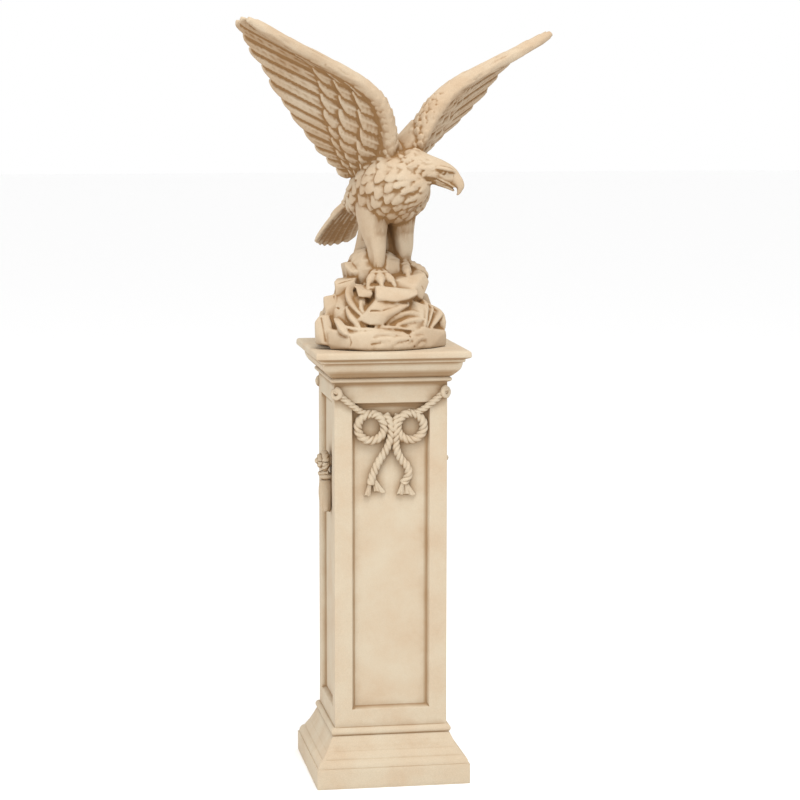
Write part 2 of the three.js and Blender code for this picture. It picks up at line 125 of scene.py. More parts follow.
def applyModifier(obj, kind, **settings):
    makeActive(obj)
    modifier = obj.modifiers.new(kind.lower(), kind)
    for key, value in settings.items():
        setattr(modifier, key, value)
    bpy.ops.object.modifier_apply(modifier=modifier.name)


# One mesh object from (points in mm, faces) parts
def meshFrom(name, parts):
    points, faces, start = [], [], 0
    for partPoints, partFaces in parts:
        points.append(np.asarray(partPoints, float))
        faces.extend([tuple(i + start for i in face) for face in partFaces])
        start += len(partPoints)
    mesh = bpy.data.meshes.new(name)
    mesh.from_pydata((np.vstack(points) * mm).tolist(), [], faces)
    mesh.validate()
    obj = bpy.data.objects.new(name, mesh)
    bpy.context.collection.objects.link(obj)
    return obj


def signedVolume(points, faces):
    total = 0.0
    for face in faces:
        a = points[face[0]]
        for i in range(1, len(face) - 1):
            total += float(np.dot(a, np.cross(points[face[i]], points[face[i + 1]])))
    return total


# Closed skin over rings with the same number of corners, faces out
def loft(rings):
    rings = np.asarray(rings, float)
    count, corners = rings.shape[:2]
    points = rings.reshape(-1, 3)
    faces = []
    for i in range(count - 1):
        for j in range(corners):
            a, b = i * corners + j, i * corners + (j + 1) % corners
            faces.append((a, b, b + corners, a + corners))
    last = (count - 1) * corners
    faces.append(tuple(range(corners - 1, -1, -1)))
    faces.append(tuple(range(last, last + corners)))
    middle = points.mean(axis=0)
    if signedVolume(points - middle, faces) < 0:
        faces = [face[::-1] for face in faces]
    return points, faces


# Smooth curve through points (any number of columns), at each share of its length in t
def curveAt(points, t):
    points = np.asarray(points, float)
    t = np.atleast_1d(np.asarray(t, float))
    count = len(points)
    padded = np.vstack([2 * points[0] - points[1], points, 2 * points[-1] - points[-2]])
    reach = np.clip(t, 0, 1) * (count - 1)
    i = np.minimum(reach.astype(int), count - 2)
    w = (reach - i)[:, None]
    p0, p1, p2, p3 = padded[i], padded[i + 1], padded[i + 2], padded[i + 3]
    gap = lambda a, b: np.maximum(np.linalg.norm(b[:, :3] - a[:, :3], axis=1), 1e-6)[:, None] ** 0.5
    d0, d1, d2 = gap(p0, p1), gap(p1, p2), gap(p2, p3)
    m1 = ((p1 - p0) / d0 - (p2 - p0) / (d0 + d1) + (p2 - p1) / d1) * d1
    m2 = ((p2 - p1) / d1 - (p3 - p1) / (d1 + d2) + (p3 - p2) / d2) * d1
    return (p1 + m1 * w + (-3 * p1 + 3 * p2 - 2 * m1 - m2) * w ** 2
            + (2 * p1 - 2 * p2 + m1 + m2) * w ** 3)


def unit(v):
    return v / np.maximum(np.linalg.norm(v, axis=-1, keepdims=True), 1e-9)


# Oval rings along smooth stops [x, y, z, wide, deep]; bump(share, angle) may swell the skin
def ovalLoft(stops, sides, rings, upward=(0, 0, 1), bump=None):
    share = np.linspace(0, 1, rings)
    s = curveAt(stops, share)
    along = unit(np.gradient(s[:, :3], axis=0))
    across = unit(np.cross(along, np.asarray(upward, float)))
    over = np.cross(across, along)
    angle = np.arange(sides) * 2 * math.pi / sides
    swell = np.zeros((rings, sides)) if bump is None else bump(share[:, None], angle[None, :])
    wide = np.maximum(s[:, 3], 0.3)[:, None] + swell
    deep = np.maximum(s[:, 4], 0.3)[:, None] + swell
    return loft(s[:, None, :3] - across[:, None, :] * (wide * np.cos(angle))[..., None]
                + over[:, None, :] * (deep * np.sin(angle))[..., None])


def ball(centre, radii, sides=14):
    rings = []
    for level in np.linspace(-0.96, 0.96, max(6, sides // 2)):
        turn = np.arange(sides) * 2 * math.pi / sides
        flat = math.sqrt(1 - level * level)
        rings.append(np.stack([centre[0] + radii[0] * flat * np.cos(turn),
                               centre[1] + radii[1] * flat * np.sin(turn),
                               np.full(sides, centre[2] + radii[2] * level)], axis=1))
    return loft(rings)


def hull(corners):
    bm = bmesh.new()
    for corner in corners:
        bm.verts.new(corner)
    bmesh.ops.convex_hull(bm, input=bm.verts)
    loose = [v for v in bm.verts if not v.link_faces]
    bmesh.ops.delete(bm, geom=loose, context="VERTS")
    bm.verts.index_update()
    points = np.array([v.co[:] for v in bm.verts])
    faces = [tuple(v.index for v in f.verts) for f in bm.faces]
    bm.free()
    return points, faces


def moved(part, matrix, flip=False):
    points, faces = part
    turned = points @ np.array(matrix.to_3x3()).T + np.array(matrix.translation)
    return turned, [face[::-1] for face in faces] if flip else faces


def readTriples(items, name):
    values = np.empty(len(items) * 3)
    items.foreach_get(name, values)
    return values.reshape(-1, 3)


def readPoints(mesh):
    return readTriples(mesh.vertices, "co")


def readNormals(mesh):
    return readTriples(mesh.vertex_normals, "vector")


def writePoints(mesh, points):
    mesh.vertices.foreach_set("co", points.ravel())
    mesh.update()


# A function that takes a value of each point and gives the mean over the point's neighbours
def neighbourMean(mesh):
    count = len(mesh.vertices)
    edges = np.empty(len(mesh.edges) * 2, dtype=int)
    mesh.edges.foreach_get("vertices", edges)
    edges = edges.reshape(-1, 2)
    degree = np.maximum(np.bincount(edges.ravel(), minlength=count), 1)

    def mean(values):
        if values.ndim > 1:
            return np.stack([mean(column) for column in values.T], axis=1)
        total = np.bincount(edges[:, 0], weights=values[edges[:, 1]], minlength=count)
        total += np.bincount(edges[:, 1], weights=values[edges[:, 0]], minlength=count)
        return total / degree

    return mean


# Brown wash and painted shade: ray settings, groove range, the most painted shade on faces that look down,
# strength
washAndShadeSettings = {
    "seed": 4, "ahead": 1.05, "lift": 0.0012, "fade": 0.6, "hiddenRounds": 3, "smoothRounds": 4,
    "grooveRange": (-0.35, 0.6), "mostUnder": 1.2, "strength": 1.15,
}


# How hidden each point is, from short rays, kept as an attribute for the brown wash and the painted shade of
# hollows and overhangs. Grooves add to it as brown wash, all the more the smaller sharp is (m). So do faces
# that look down, as painted shade: under is (amount, highest normal z)
def addWashAndShade(obj, s, reach, rays, sharp, under):
    mesh = obj.data
    points, normals, average = readPoints(mesh), readNormals(mesh), neighbourMean(mesh)
    bm = bmesh.new()
    bm.from_mesh(mesh)
    cast, fade = BVHTree.FromBMesh(bm).ray_cast, s["fade"]
    bm.free()
    rng = np.random.default_rng(s["seed"])
    directions = unit(rng.normal(size=(len(points), rays, 3)))
    directions = unit(directions + normals[:, None, :] * s["ahead"])
    starts = points + normals * s["lift"]
    # Painted shade: points that short rays find blocked get darker, which also stands for brown wash gathered
    # in hollows
    hidden = np.zeros(len(points))
    for i, start in enumerate(starts):
        blocked = 0.0
        for direction in directions[i]:
            hit = cast(start, direction, reach)
            if hit[0] is not None:
                blocked += 1 - fade * hit[3] / reach
        hidden[i] = blocked / rays
    for _ in range(s["hiddenRounds"]):
        hidden = 0.5 * hidden + 0.5 * average(hidden)
    smooth = points
    for _ in range(s["smoothRounds"]):
        smooth = average(smooth)
    groove = np.einsum("ij,ij->i", smooth - points, normals) / sharp
    # Painted shade: faces that look down get darker, as if light came only from above
    downwardShade = under[0] * np.clip(under[1] - normals[:, 2], 0, s["mostUnder"])
    washAndShade = hidden * s["strength"] + np.clip(groove, *s["grooveRange"]) + downwardShade
    mesh.attributes.new("washAndShade", "FLOAT", "POINT").data.foreach_set("value", np.clip(washAndShade, 0, 1))


# Column body: a block that is extruded and resized along its mouldings, with inset panels

columnSizes = {
    "height": 1080, "plinthWidth": 382, "plinthHeight": 50, "plateWidth": 382, "plateThickness": 18,
    "shaftWidth": 280, "baseHeight": 142, "capHeight": 80, "beadOut": 10, "softness": 3,
    "stile": 43, "topRail": 49, "bottomRail": 44, "panelDepth": 11, "panelBevel": 6,
    "edgeRound": 1.8, "edgeAngle": 28, "smoothAngle": 34, "gridStep": 13, "leastPanel": 0.15,
    # brown wash in grooves and painted shade: reach and rays of the occlusion, groove sharpness, painted shade
    # on faces that look down
    "washAndShade": {"reach": 0.03, "rays": 14, "sharp": 0.0016, "under": (1.0, -0.05)},
    # mouldings as shares (out from the shaft, up), beads as shares of the way up
    "baseShape": ((0.93, 0.04), (0.9, 0.1), (0.84, 0.16), (0.77, 0.195), (0.7, 0.215), (0.64, 0.27),
                  (0.57, 0.33), (0.47, 0.41), (0.36, 0.52), (0.26, 0.63), (0.18, 0.73), (0.13, 0.78)),
    "capShape": ((0.13, 0.23), (0.18, 0.25), (0.26, 0.3), (0.35, 0.37), (0.44, 0.44), (0.52, 0.52),
                 (0.58, 0.61), (0.615, 0.7), (0.635, 0.82), (0.72, 0.84), (0.74, 0.88), (0.74, 0.95)),
    "beadShape": (0.5, 0.82, 0.97, 1.0, 0.94, 0.76, 0.45), "baseBead": (0.79, 0.99), "capBead": (0.02, 0.22),
    # soft edges of the plate in steps of the softness (in from the edge, up) and (in, down)
    "plateUnder": ((1.4, 0), (0.2, 0.6), (0, 1.6)), "plateOver": ((0.2, 1.6), (1, 0.5), (2.4, 0)),
}


def columnProfile(s):
    plinth, plate, shaft = s["plinthWidth"] / 2, s["plateWidth"] / 2, s["shaftWidth"] / 2
    top, soft, bead = s["height"], s["softness"], s["beadOut"]
    shaftTop = top - s["capHeight"]
    plateUnder = top - s["plateThickness"]
    baseIn, capOut = plinth - shaft, plate - shaft
    base = lambda share: s["plinthHeight"] + share * (s["baseHeight"] - s["plinthHeight"])
    cap = lambda share: shaftTop + share * (plateUnder - shaftTop)
    last = len(s["beadShape"]) - 1
    roll = lambda at, low, high: [(shaft + bead * out, at(low + (high - low) * k / last))
                                  for k, out in enumerate(s["beadShape"])]
    return [
        (plinth - soft, s["plinthHeight"]),
        *[(shaft + out * baseIn, base(rise)) for out, rise in s["baseShape"]],
        *roll(base, *s["baseBead"]),
        (shaft, s["baseHeight"]), (shaft, shaftTop),
        *roll(cap, *s["capBead"]),
        *[(shaft + out * capOut, cap(rise)) for out, rise in s["capShape"]],
        *[(plate - inward * soft, plateUnder + rise * soft) for inward, rise in s["plateUnder"]],
        *[(plate - inward * soft, top - drop * soft) for inward, drop in s["plateOver"]],
    ]


def selectFaces(bm, test):
    for face in bm.faces:
        face.select_set(False)
    for face in bm.faces:
        if test(face):
            face.select_set(True)


def makeColumnBody(s):
    plinth, tall = s["plinthWidth"] * mm, s["plinthHeight"] * mm
    deselectAll()
    bpy.ops.mesh.primitive_cube_add(size=1, location=(0, 0, tall / 2), scale=(plinth, plinth, tall))
    body = bpy.context.active_object
    body.name = "columnCast"
    bpy.ops.object.transform_apply(location=True, rotation=True, scale=True)
    bpy.ops.object.mode_set(mode="EDIT")
    bpy.ops.mesh.select_mode(type="FACE")
    bm = bmesh.from_edit_mesh(body.data)
    selectFaces(bm, lambda face: face.normal.z > 0.9)
    half, z = plinth / 2, tall
    for nextHalf, nextZ in columnProfile(s):
        grow = nextHalf * mm / half
        bpy.ops.mesh.extrude_region_move(TRANSFORM_OT_translate={"value": (0, 0, nextZ * mm - z)})
        bpy.ops.transform.resize(value=(grow, grow, 1), center_override=(0, 0, nextZ * mm))
        half, z = nextHalf * mm, nextZ * mm
    bm = bmesh.from_edit_mesh(body.data)
    selectFaces(bm, lambda face: abs(face.normal.z) < 0.1 and face.calc_area() > s["leastPanel"])
    bpy.ops.mesh.inset(thickness=s["stile"] * mm, use_individual=True)
    bm = bmesh.from_edit_mesh(body.data)
    middle = (s["height"] - s["capHeight"] + s["baseHeight"]) / 2 * mm
    for v in [v for v in bm.verts if v.select]:
        shift = s["stile"] - s["topRail"] if v.co.z > middle else s["bottomRail"] - s["stile"]
        v.co.z += shift * mm
    bmesh.update_edit_mesh(body.data)
    bpy.ops.mesh.inset(thickness=s["panelBevel"] * mm, depth=-s["panelDepth"] * mm, use_individual=True)
    bpy.ops.object.mode_set(mode="OBJECT")
    applyModifier(body, "BEVEL", width=s["edgeRound"] * mm, segments=2, limit_method="ANGLE",
                  angle_limit=math.radians(s["edgeAngle"]))
    return body


# Even cuts through the flat faces, so that the brown wash and painted shade can fade across them
def cutGrid(obj, step, low, high):
    bm = bmesh.new()
    bm.from_mesh(obj.data)
    for axis in range(3):
        normal = Vector((0, 0, 0))
        normal[axis] = 1
        at = low[axis] + step
        while at < high[axis]:
            bmesh.ops.bisect_plane(bm, geom=bm.verts[:] + bm.edges[:] + bm.faces[:], dist=1e-6,
                                   plane_co=normal * at, plane_no=normal)
            at += step
    bm.to_mesh(obj.data)
    bm.free()


# Twisted rope: a lobed section that turns as it runs along smooth points
ropeSettings = {
    "strands": 3, "lead": 42, "sides": 18, "step": 2.2, "samples": 400,
    "groove": 0.32, "lobe": 0.6, "crest": 1.2,
}


def ropeAlong(stops, radius, s, lead=None):
    fine = curveAt(stops, np.linspace(0, 1, s["samples"]))
    length = np.concatenate([[0], np.cumsum(np.linalg.norm(np.diff(fine, axis=0), axis=1))])
    count = max(8, int(length[-1] / s["step"]))
    at = np.linspace(0, length[-1], count)
    line = np.stack([np.interp(at, length, fine[:, k]) for k in range(3)], axis=1)
    along = unit(np.gradient(line, axis=0))
    across = unit(np.cross(along, (0.0, -1.0, 0.0)))
    over = np.cross(across, along)
    turns = s["lead"] / (lead or s["lead"])
    angle = np.arange(s["sides"]) * 2 * math.pi / s["sides"]
    rings = []
    for i in range(count):
        twist = 2 * math.pi * at[i] / s["lead"] * turns
        lobe = np.abs(np.cos(s["strands"] / 2 * (angle + twist))) ** s["lobe"]
        r = radius * (1 - s["groove"] + s["groove"] * lobe * s["crest"])
        rings.append(line[i] + across[i] * (r * np.cos(angle))[:, None]
                     + over[i] * (r * np.sin(angle))[:, None])
    return loft(rings)


# The swag's stops are (in from the shaft's side, out from the frame or the panel, share of the drop)
# and the tails' are (shares of the loops' spacing and of the tail, out). A tassel is (place from the
# tail's end, reach, width, lean, thickness)
bowSettings = {
    "rope": 10.5, "swag": 8, "loopRadius": 33, "loopSpacing": 98, "loopDrop": 61, "loopRise": 3.0,
    "pegDrop": 16, "lead": 42, "swagLead": 38, "tail": 161, "tailRope": 0.92,
    "onFrame": ((2, 0, 0), (23, 0, 0.36), (44, 1, 0.64), (61, 5, 0.85)), "intoPanel": (78, 0, 0.98),
    "curl": {"radius": 12, "turns": 1.2, "shrink": 0.05, "corner": 38, "rope": 6.2, "lead": 30,
             "groove": 0.1},
    "tails": (
        (-1, ((0.15, -0.08, 1), (0.02, 0.05, 5), (0.0, 0.25, 5), (0.1, 0.45, 2), (0.28, 0.63, 0),
              (0.43, 0.82, 0), (0.52, 1.0, 0)),
         (((-1, 2, 2), 30, 9, -0.2, 7), ((7, 3, 18), 38, 15, 0.45, 6.5))),
        (1, ((0.2, -0.06, 1), (0.11, 0.06, 5), (0.12, 0.26, 5), (0.14, 0.46, 2), (0.26, 0.62, 0),
             (0.42, 0.74, 0), (0.45, 0.87, 0), (0.32, 1.0, 0)),
         (((0, 2, 4), 30, 10, -0.25, 7), ((2, 3, 12), 40, 16, 0.35, 6.5))),
    ),
}


# Flat bell of loose ends below a rope, ridged along its length
def tasselAt(top, reach, wide, lean, thick):
    sides, rings = 28, []
    turn = np.arange(sides) * 2 * math.pi / sides
    for t in np.linspace(0, 1, 14):
        half = 5 + (wide - 5) * t ** 1.4
        depth = thick * (0.9 + 0.2 * math.sin(math.pi * t)) * (1 - 0.25 * t)
        ridge = 1 + 0.16 * np.cos(turn * 9 + 1.2 * t) * t
        x = top[0] + lean * t * reach + half * np.cos(turn)
        z = top[2] - t * reach - 3.5 * np.cos(turn) * lean * t + 2 * t * np.cos(turn * 3)
        y = np.full(sides, top[1]) - depth * np.sin(turn) * ridge
        rings.append(np.stack([x, y, z], axis=1))
    return loft(rings)


def makeBow(s, c):
    shaftHalf = c["shaftWidth"] / 2
    front = -shaftHalf
    shaftTop = c["height"] - c["capHeight"]
    loopZ = shaftTop - c["topRail"] - s["loopDrop"]
    topOfLoop = loopZ + s["loopRadius"]
    pegZ = shaftTop - s["pegDrop"]
    inPanel = front + c["panelDepth"] - 0.55 * s["rope"]
    onFrame = front - 0.35 * s["swag"]
    level = lambda share: pegZ + (topOfLoop - pegZ) * share
    parts, tassels = [], []
    for side in (-1, 1):
        centre = side * s["loopSpacing"] / 2
        turn = np.linspace(math.pi / 2, math.pi / 2 + 2 * math.pi, 25)
        ring = np.stack([centre + side * s["loopRadius"] * np.cos(turn), np.full(25, inPanel),
                         loopZ + s["loopRadius"] * np.sin(turn)], axis=1)
        ring[:, 1] -= s["loopRise"] * np.clip(np.cos(turn + math.pi), 0, 1)
        parts.append(ropeAlong(ring, s["rope"], ropeSettings, s["lead"] * side))
        swag = [(side * (shaftHalf - x), onFrame + out, level(share)) for x, out, share in s["onFrame"]]
        x, out, share = s["intoPanel"]
        swag += [(side * (shaftHalf - x), inPanel + out, level(share)), (centre, inPanel + 2, topOfLoop - 2)]
        parts.append(ropeAlong(swag, s["swag"], ropeSettings, s["swagLead"] * side))
        # the end that curls round the corner
        end = s["curl"]
        wind = np.linspace(0, end["turns"] * 2 * math.pi, 20)
        r = end["radius"] * (1 - end["shrink"] * wind)
        corner = math.radians(side * end["corner"])
        curl = np.stack([-side * r * np.sin(wind) * math.cos(corner),
                         -side * r * np.sin(wind) * math.sin(corner), r * np.cos(wind)], axis=1)
        curl += (side * (shaftHalf - 4), front - 3, pegZ - 9)
        plain = {**ropeSettings, "groove": end["groove"]}
        parts.append(ropeAlong(curl, end["rope"], plain, end["lead"] * side))
    for side, stops, ends in s["tails"]:
        line = [(side * x * s["loopSpacing"], inPanel - out, loopZ + 0.6 * s["loopRadius"] - drop * s["tail"])
                for x, drop, out in stops]
        parts.append(ropeAlong(line, s["rope"] * s["tailRope"], ropeSettings, s["lead"] * side))
        tassels += [tasselAt(np.array(line[-1]) + place, *shape) for place, *shape in ends]
    return parts + tassels


dropSettings = {"length": 142, "fromTop": 191, "knot": 21}


def makeDrop(s, c):
    ground = -c["shaftWidth"] / 2 + c["panelDepth"]
    top = c["height"] - c["capHeight"] - s["fromTop"]
    k, long = s["knot"], s["length"]
    parts = []
    # rosette: a coil of rope round a button
    for radius, out, thick in ((1.0 * k, 0.75, 0.42), (0.62 * k, 1.3, 0.34)):
        turn = np.linspace(0, 2 * math.pi, 21)
        ring = np.stack([radius * 1.08 * np.cos(turn), np.full(21, ground - out * k),
                         top - 0.9 * k + radius * 0.86 * np.sin(turn)], axis=1)
        parts.append(ropeAlong(ring, thick * k, ropeSettings, 32))
    for out, z, wide, deep, tall in ((0.6, top - 0.9 * k, 1.05, 1.05, 0.85),
                                     (1.55, top - 0.9 * k, 0.42, 0.42, 0.4),
                                     (0.6, top - 0.41 * long, 0.7, 0.85, 0.52)):
        parts.append(ball((0, ground - out * k, z), (wide * k, deep * k, tall * k)))
    band = [(-0.7 * k, ground - 0.4 * k, top - 0.33 * long), (0, ground - 1.4 * k, top - 0.36 * long),
            (0.7 * k, ground - 0.4 * k, top - 0.33 * long)]
    parts.append(ropeAlong(band, 0.22 * k, ropeSettings))
    for side in (-1, 1):
        start = (side * 0.16 * k, ground - 0.7 * k, top - 0.48 * long)
        parts.append(tasselAt(start, 0.5 * long * (1 + 0.06 * side), 0.62 * k, side * 0.16, 0.75 * k))
    return parts


def makeColumn(s):
    body = makeColumnBody(s)
    reach = s["plinthWidth"] / 2 * mm
    cutGrid(body, s["gridStep"] * mm, (-reach, -reach, 0), (reach, reach, s["height"] * mm))
    pieces = [body]
    for name, parts, turns in (("bow", makeBow(bowSettings, s), (0, 2)),
                               ("drop", makeDrop(dropSettings, s), (1, 3))):
        for k in turns:
            turned = [moved(part, Matrix.Rotation(k * math.pi / 2, 4, "Z")) for part in parts]
            pieces.append(meshFrom(name + str(k), turned))
    deselectAll()
    for piece in pieces:
        piece.select_set(True)
    bpy.context.view_layer.objects.active = body
    bpy.ops.object.join()
    # brown wash in the grooves, painted shade where the surface is hidden or looks down
    addWashAndShade(body, washAndShadeSettings, **s["washAndShade"])
    makeActive(body)
    bpy.ops.object.shade_smooth_by_angle(angle=math.radians(s["smoothAngle"]))
    return body


# Eagle: places are in mm as (left, forward, height) of the bird, height from the column's top

eagleSettings = {
    "turn": 25.7, "stance": (24, -24, 1080.3), "voxel": 2.1, "triangles": 188000,
    # the rock is softened more: (weight, more on the rock, rounds), up to rockTop over rockFade (m)
    "relax": ((0.35, 0.2, 2), (0, 0.5, 8)), "rockTop": 0.19, "rockFade": 0.03,
    # brown wash in grooves and painted shade: reach and rays of the occlusion, groove sharpness, painted shade
    # on faces that look down
    "washAndShade": {"reach": 0.08, "rays": 9, "sharp": 0.0011, "under": (0.7, 0.12)},
}


def placed(stops):
    stops = np.asarray(stops, float)
    stops[:, 1] *= -1
    return stops


# Point of an oval skin round stops: u along it, v round it. columns says how many numbers of a stop
# count in its direction
def skinPoint(stops, upward, u, v, columns=3):
    s = curveAt(stops, u)
    ahead, behind = curveAt(stops, np.minimum(u + 0.01, 1)), curveAt(stops, np.maximum(u - 0.01, 0))
    along = unit((ahead - behind)[:, :columns])[:, :3]
    across = unit(np.cross(along, upward))
    over = np.cross(across, along)
    return s[:, :3] - across * (s[:, 3] * np.cos(v))[:, None] + over * (s[:, 4] * np.sin(v))[:, None]


trunkStops = placed([
    [0, -172, 334, 8, 6], [0, -156, 341, 34, 24], [0, -122, 356, 58, 44], [0, -76, 370, 80, 68],
    [0, -20, 390, 92, 88], [0, 34, 401, 90, 86], [4, 64, 402, 72, 73], [18, 86, 399, 47, 52],
    [32, 97, 397, 26, 30], [40, 101, 396, 8, 8],
])


def trunkPoint(u, v):
    return skinPoint(trunkStops, (0.0, 0.0, 1.0), u, v)


def normalOf(surface, u, v, du=0.008, dv=0.02):
    a = surface(u + du, v) - surface(u - du, v)
    b = surface(u, v + dv) - surface(u, v - dv)
    return unit(np.cross(a, b))


# +1 where a surface's u and v give a normal that points out of the body round its stops, else -1
def outSign(surface, stops):
    u, v = np.array([0.5]), np.array([0.3])
    out = surface(u, v)[0] - curveAt(stops, u)[0][:3]
    return 1 if np.dot(normalOf(surface, u, v)[0], out) > 0 else -1


scaleSettings = {
    "rows": 8, "columns": 9, "root": 0.74, "spread": 0.26, "point": 0.5,
    "sunk": 6, "rootSunk": 2, "belly": 0.38, "shaft": 0.7,
    "sizes": (0.9, 1.12), "lifts": (0.8, 1.15), "turns": (-0.16, 0.16), "tries": 5000,
}


# One round-tipped feather that follows a surface. Its tip points towards falling u, turned by flow
# towards rising v, and it lifts from its root to its tip
def scaleFeather(surface, s, u, v, long, wide, lift, sign, flow):
    uu, vv = np.array([u]), np.array([v])
    stepU, stepV = 0.01, 0.02
    perU = np.linalg.norm(surface(uu + stepU, vv) - surface(uu - stepU, vv)) / (2 * stepU)
    perV = np.linalg.norm(surface(uu, vv + stepV) - surface(uu, vv - stepV)) / (2 * stepV)
    side = np.linspace(-1, 1, s["columns"])
    point, root = s["point"], s["rootSunk"]
    rings = []
    for t in np.linspace(0, 1, s["rows"]):
        half = 0.5 * wide * (s["root"] + s["spread"] * math.sin(math.pi * min(t / 0.6, 1)))
        if t > point:
            half *= math.sqrt(max(0.02, 1 - ((t - point) / (1 - point)) ** 2))
        ahead, over = (t - 0.5) * long, side * half
        us = np.clip(u + (-math.cos(flow) * ahead + math.sin(flow) * over) / perU, 0.02, 0.98)
        vs = v + (math.sin(flow) * ahead + math.cos(flow) * over) / perV
        skin = surface(us, vs)
        normal = normalOf(surface, us, vs) * sign
        height = -root + (lift + root) * t ** 0.8 + s["belly"] * lift * (1 - side ** 2) * (0.4 + 0.6 * t)
        height += s["shaft"] * np.exp(-(side / 0.16) ** 2) * t
        rings.append(np.vstack([skin + normal * height[:, None], (skin - normal * s["sunk"])[::-1]]))
    return loft(rings)


# Feathers strewn over a surface from one end to the other of the range of u and all round it, no two
# nearer than spacing(u). shape(u, v) gives long, wide, lift, flow
def strew(surface, stops, reach, spacing, shape, seed, s=scaleSettings):
    rng = np.random.default_rng(seed)
    u, v = rng.uniform(*reach, s["tries"]), rng.uniform(0, 2 * math.pi, s["tries"])
    at = surface(u, v)
    sign = outSign(surface, stops)
    kept = np.empty((0, 3))
    parts = []
    for k in range(s["tries"]):
        if len(kept) and np.min(np.linalg.norm(kept - at[k], axis=1)) < spacing(u[k]):
            continue
        kept = np.vstack([kept, at[k]])
        long, wide, lift, flow = shape(u[k], v[k])
        size = rng.uniform(*s["sizes"])
        parts.append(scaleFeather(surface, s, u[k], v[k], long * size, wide * size,
                                  lift * rng.uniform(*s["lifts"]), sign, flow + rng.uniform(*s["turns"])))
    return parts


def makeTrunk():
    angle = np.arange(36) * 2 * math.pi / 36
    return [loft([trunkPoint(np.full(36, share), angle) for share in np.linspace(0, 1, 40)])]


breastSettings = {
    "breast": (42, 33, 4.6), "neck": (42, 20, 2.6), "spacing": (23.5, 15.5), "neckFrom": 0.6, "neckOver": 0.16,
    "reach": (0.07, 0.93), "seed": 11,
}


def between(pair, share):
    return pair[0] + (pair[1] - pair[0]) * share


# Broad feathers on the breast that hang down, narrow ones on the neck that sweep back
def breastFeathers(s):
    neck = lambda u: float(np.clip((u - s["neckFrom"]) / s["neckOver"], 0, 1))

    def shape(u, v):
        n = neck(u)
        long, wide, lift = [between(pair, n) for pair in zip(s["breast"], s["neck"])]
        drop = -math.cos(v) * (0.85 - 0.35 * n)
        if math.sin(v) > 0.5:
            drop *= 0.3
            lift *= 0.7
        return long, wide, lift, drop

    spacing = lambda u: between(s["spacing"], neck(u))
    return strew(trunkPoint, trunkStops, s["reach"], spacing, shape, s["seed"])


# Wing

leadingEdge = placed([[30, 8, 440], [58, 48, 545], [104, 62, 610], [160, 60, 646], [235, 57, 680],
                      [350, 57, 727], [458, 58, 777]])
featherTips = placed([[82, -92, 410], [132, -92, 452], [186, -82, 498], [250, -63, 556], [305, -50, 608],
                      [355, -38, 666], [404, -26, 718], [452, 8, 766], [463, 44, 780]])
wingSettings = {
    "roots": (0.0, 0.55), "crowding": 3, "hollow": 10, "longFeathers": 12, "shoulder": 440,
    "rightReach": 1.03, "rightLift": 1.3, "seed": 5, "jitter": (0.95, 1.05),
    # covert rows of the inner (1) and outer (-1) face: how many, from and to across the wing, start,
    # end at the root and how much less at the tip, rise at root and tip
    "coverts": (
        (1, 10, 0.0, 0.98, 0.12, (0.67, 0.26), (3, 10)), (1, 9, 0.0, 0.96, 0.06, (0.56, 0.33), (7, 15)),
        (1, 8, 0.02, 0.94, 0.02, (0.36, 0.25), (11, 19)), (-1, 11, 0.0, 0.98, 0.12, (0.67, 0.26), (3, 9)),
        (-1, 11, 0.0, 0.96, 0.06, (0.56, 0.33), (6, 13)), (-1, 12, 0.0, 0.94, 0.02, (0.36, 0.25), (9, 17)),
    ),
}


def wingPoint(across, out):
    low, high = wingSettings["roots"]
    root = curveAt(leadingEdge, low + (high - low) * np.clip(across, 0, 1.1) ** wingSettings["crowding"])
    tip = curveAt(featherTips, across)
    point = root + (tip - root) * out[:, None]
    point[:, 1] += wingSettings["hollow"] * 4 * out * (1 - out)
    return point


fanStep = 0.012


def fanNormal(surface, across, out):
    along = surface(across, out + fanStep) - surface(across, out - fanStep)
    over = surface(across + fanStep, out) - surface(across - fanStep, out)
    return unit(np.cross(along, over))


def wingNormal(across, out):
    return fanNormal(wingPoint, np.clip(across, fanStep, 1 - fanStep), out)


armSettings = {
    "shares": (0, 0.14, 0.3, 0.45, 0.62, 0.8, 0.92, 0.985), "upward": (0, 1, 0.35),
    "sizes": ((21, 42), (20, 36), (20, 30), (18, 25), (16, 21), (14, 18), (12, 15), (7, 9)),
    "shoulder": ((4, 0, 424, 62, 60), (20, 8, 462, 46, 52), (37, 20, 500, 30, 43), (55, 40, 542, 19, 35)),
    "inner": (27, 21, 1.1), "outer": (110, 12, 1.7), "outerFrom": 0.3, "outerOver": 0.25,
    "spacing": (15, 21), "lump": 3.2, "lumpTo": 0.32, "reach": (0.05, 0.86), "seed": 23,
}
armStops = np.hstack([curveAt(leadingEdge, armSettings["shares"]), np.array(armSettings["sizes"], float)])


# The arm's skin: u from the shoulder (0) to the tip (1), v round it
def armPoint(u, v):
    return skinPoint(armStops, armSettings["upward"], u, v)


# Low feathers on the arm: small scales near the body, lumpy on its inner side, long narrow ones further out
def armFeathers(s):
    outer = lambda u: float(np.clip((u - s["outerFrom"]) / s["outerOver"], 0, 1))

    def shape(u, v):
        long, wide, lift = [between(pair, outer(u)) for pair in zip(s["inner"], s["outer"])]
        inward = max(0.0, -math.cos(v) - 0.1) * min(1.0, max(0.0, s["lumpTo"] - u) * 8)
        return long, wide, lift + s["lump"] * inward, math.pi

    spacing = lambda u: between(s["spacing"], outer(u))
    return strew(armPoint, armStops, s["reach"], spacing, shape, s["seed"])


tailSettings = {
    "feathers": 6, "root": (28, 104.0, 380, 6), "tip": (60, 296, 34, 234, 14), "arch": 14,
    # rows of coverts on both faces: how many, from, to, rise
    "coverts": ((6, 0.0, 0.6, (2, 6)), (5, -0.1, 0.36, (5, 10))),
}


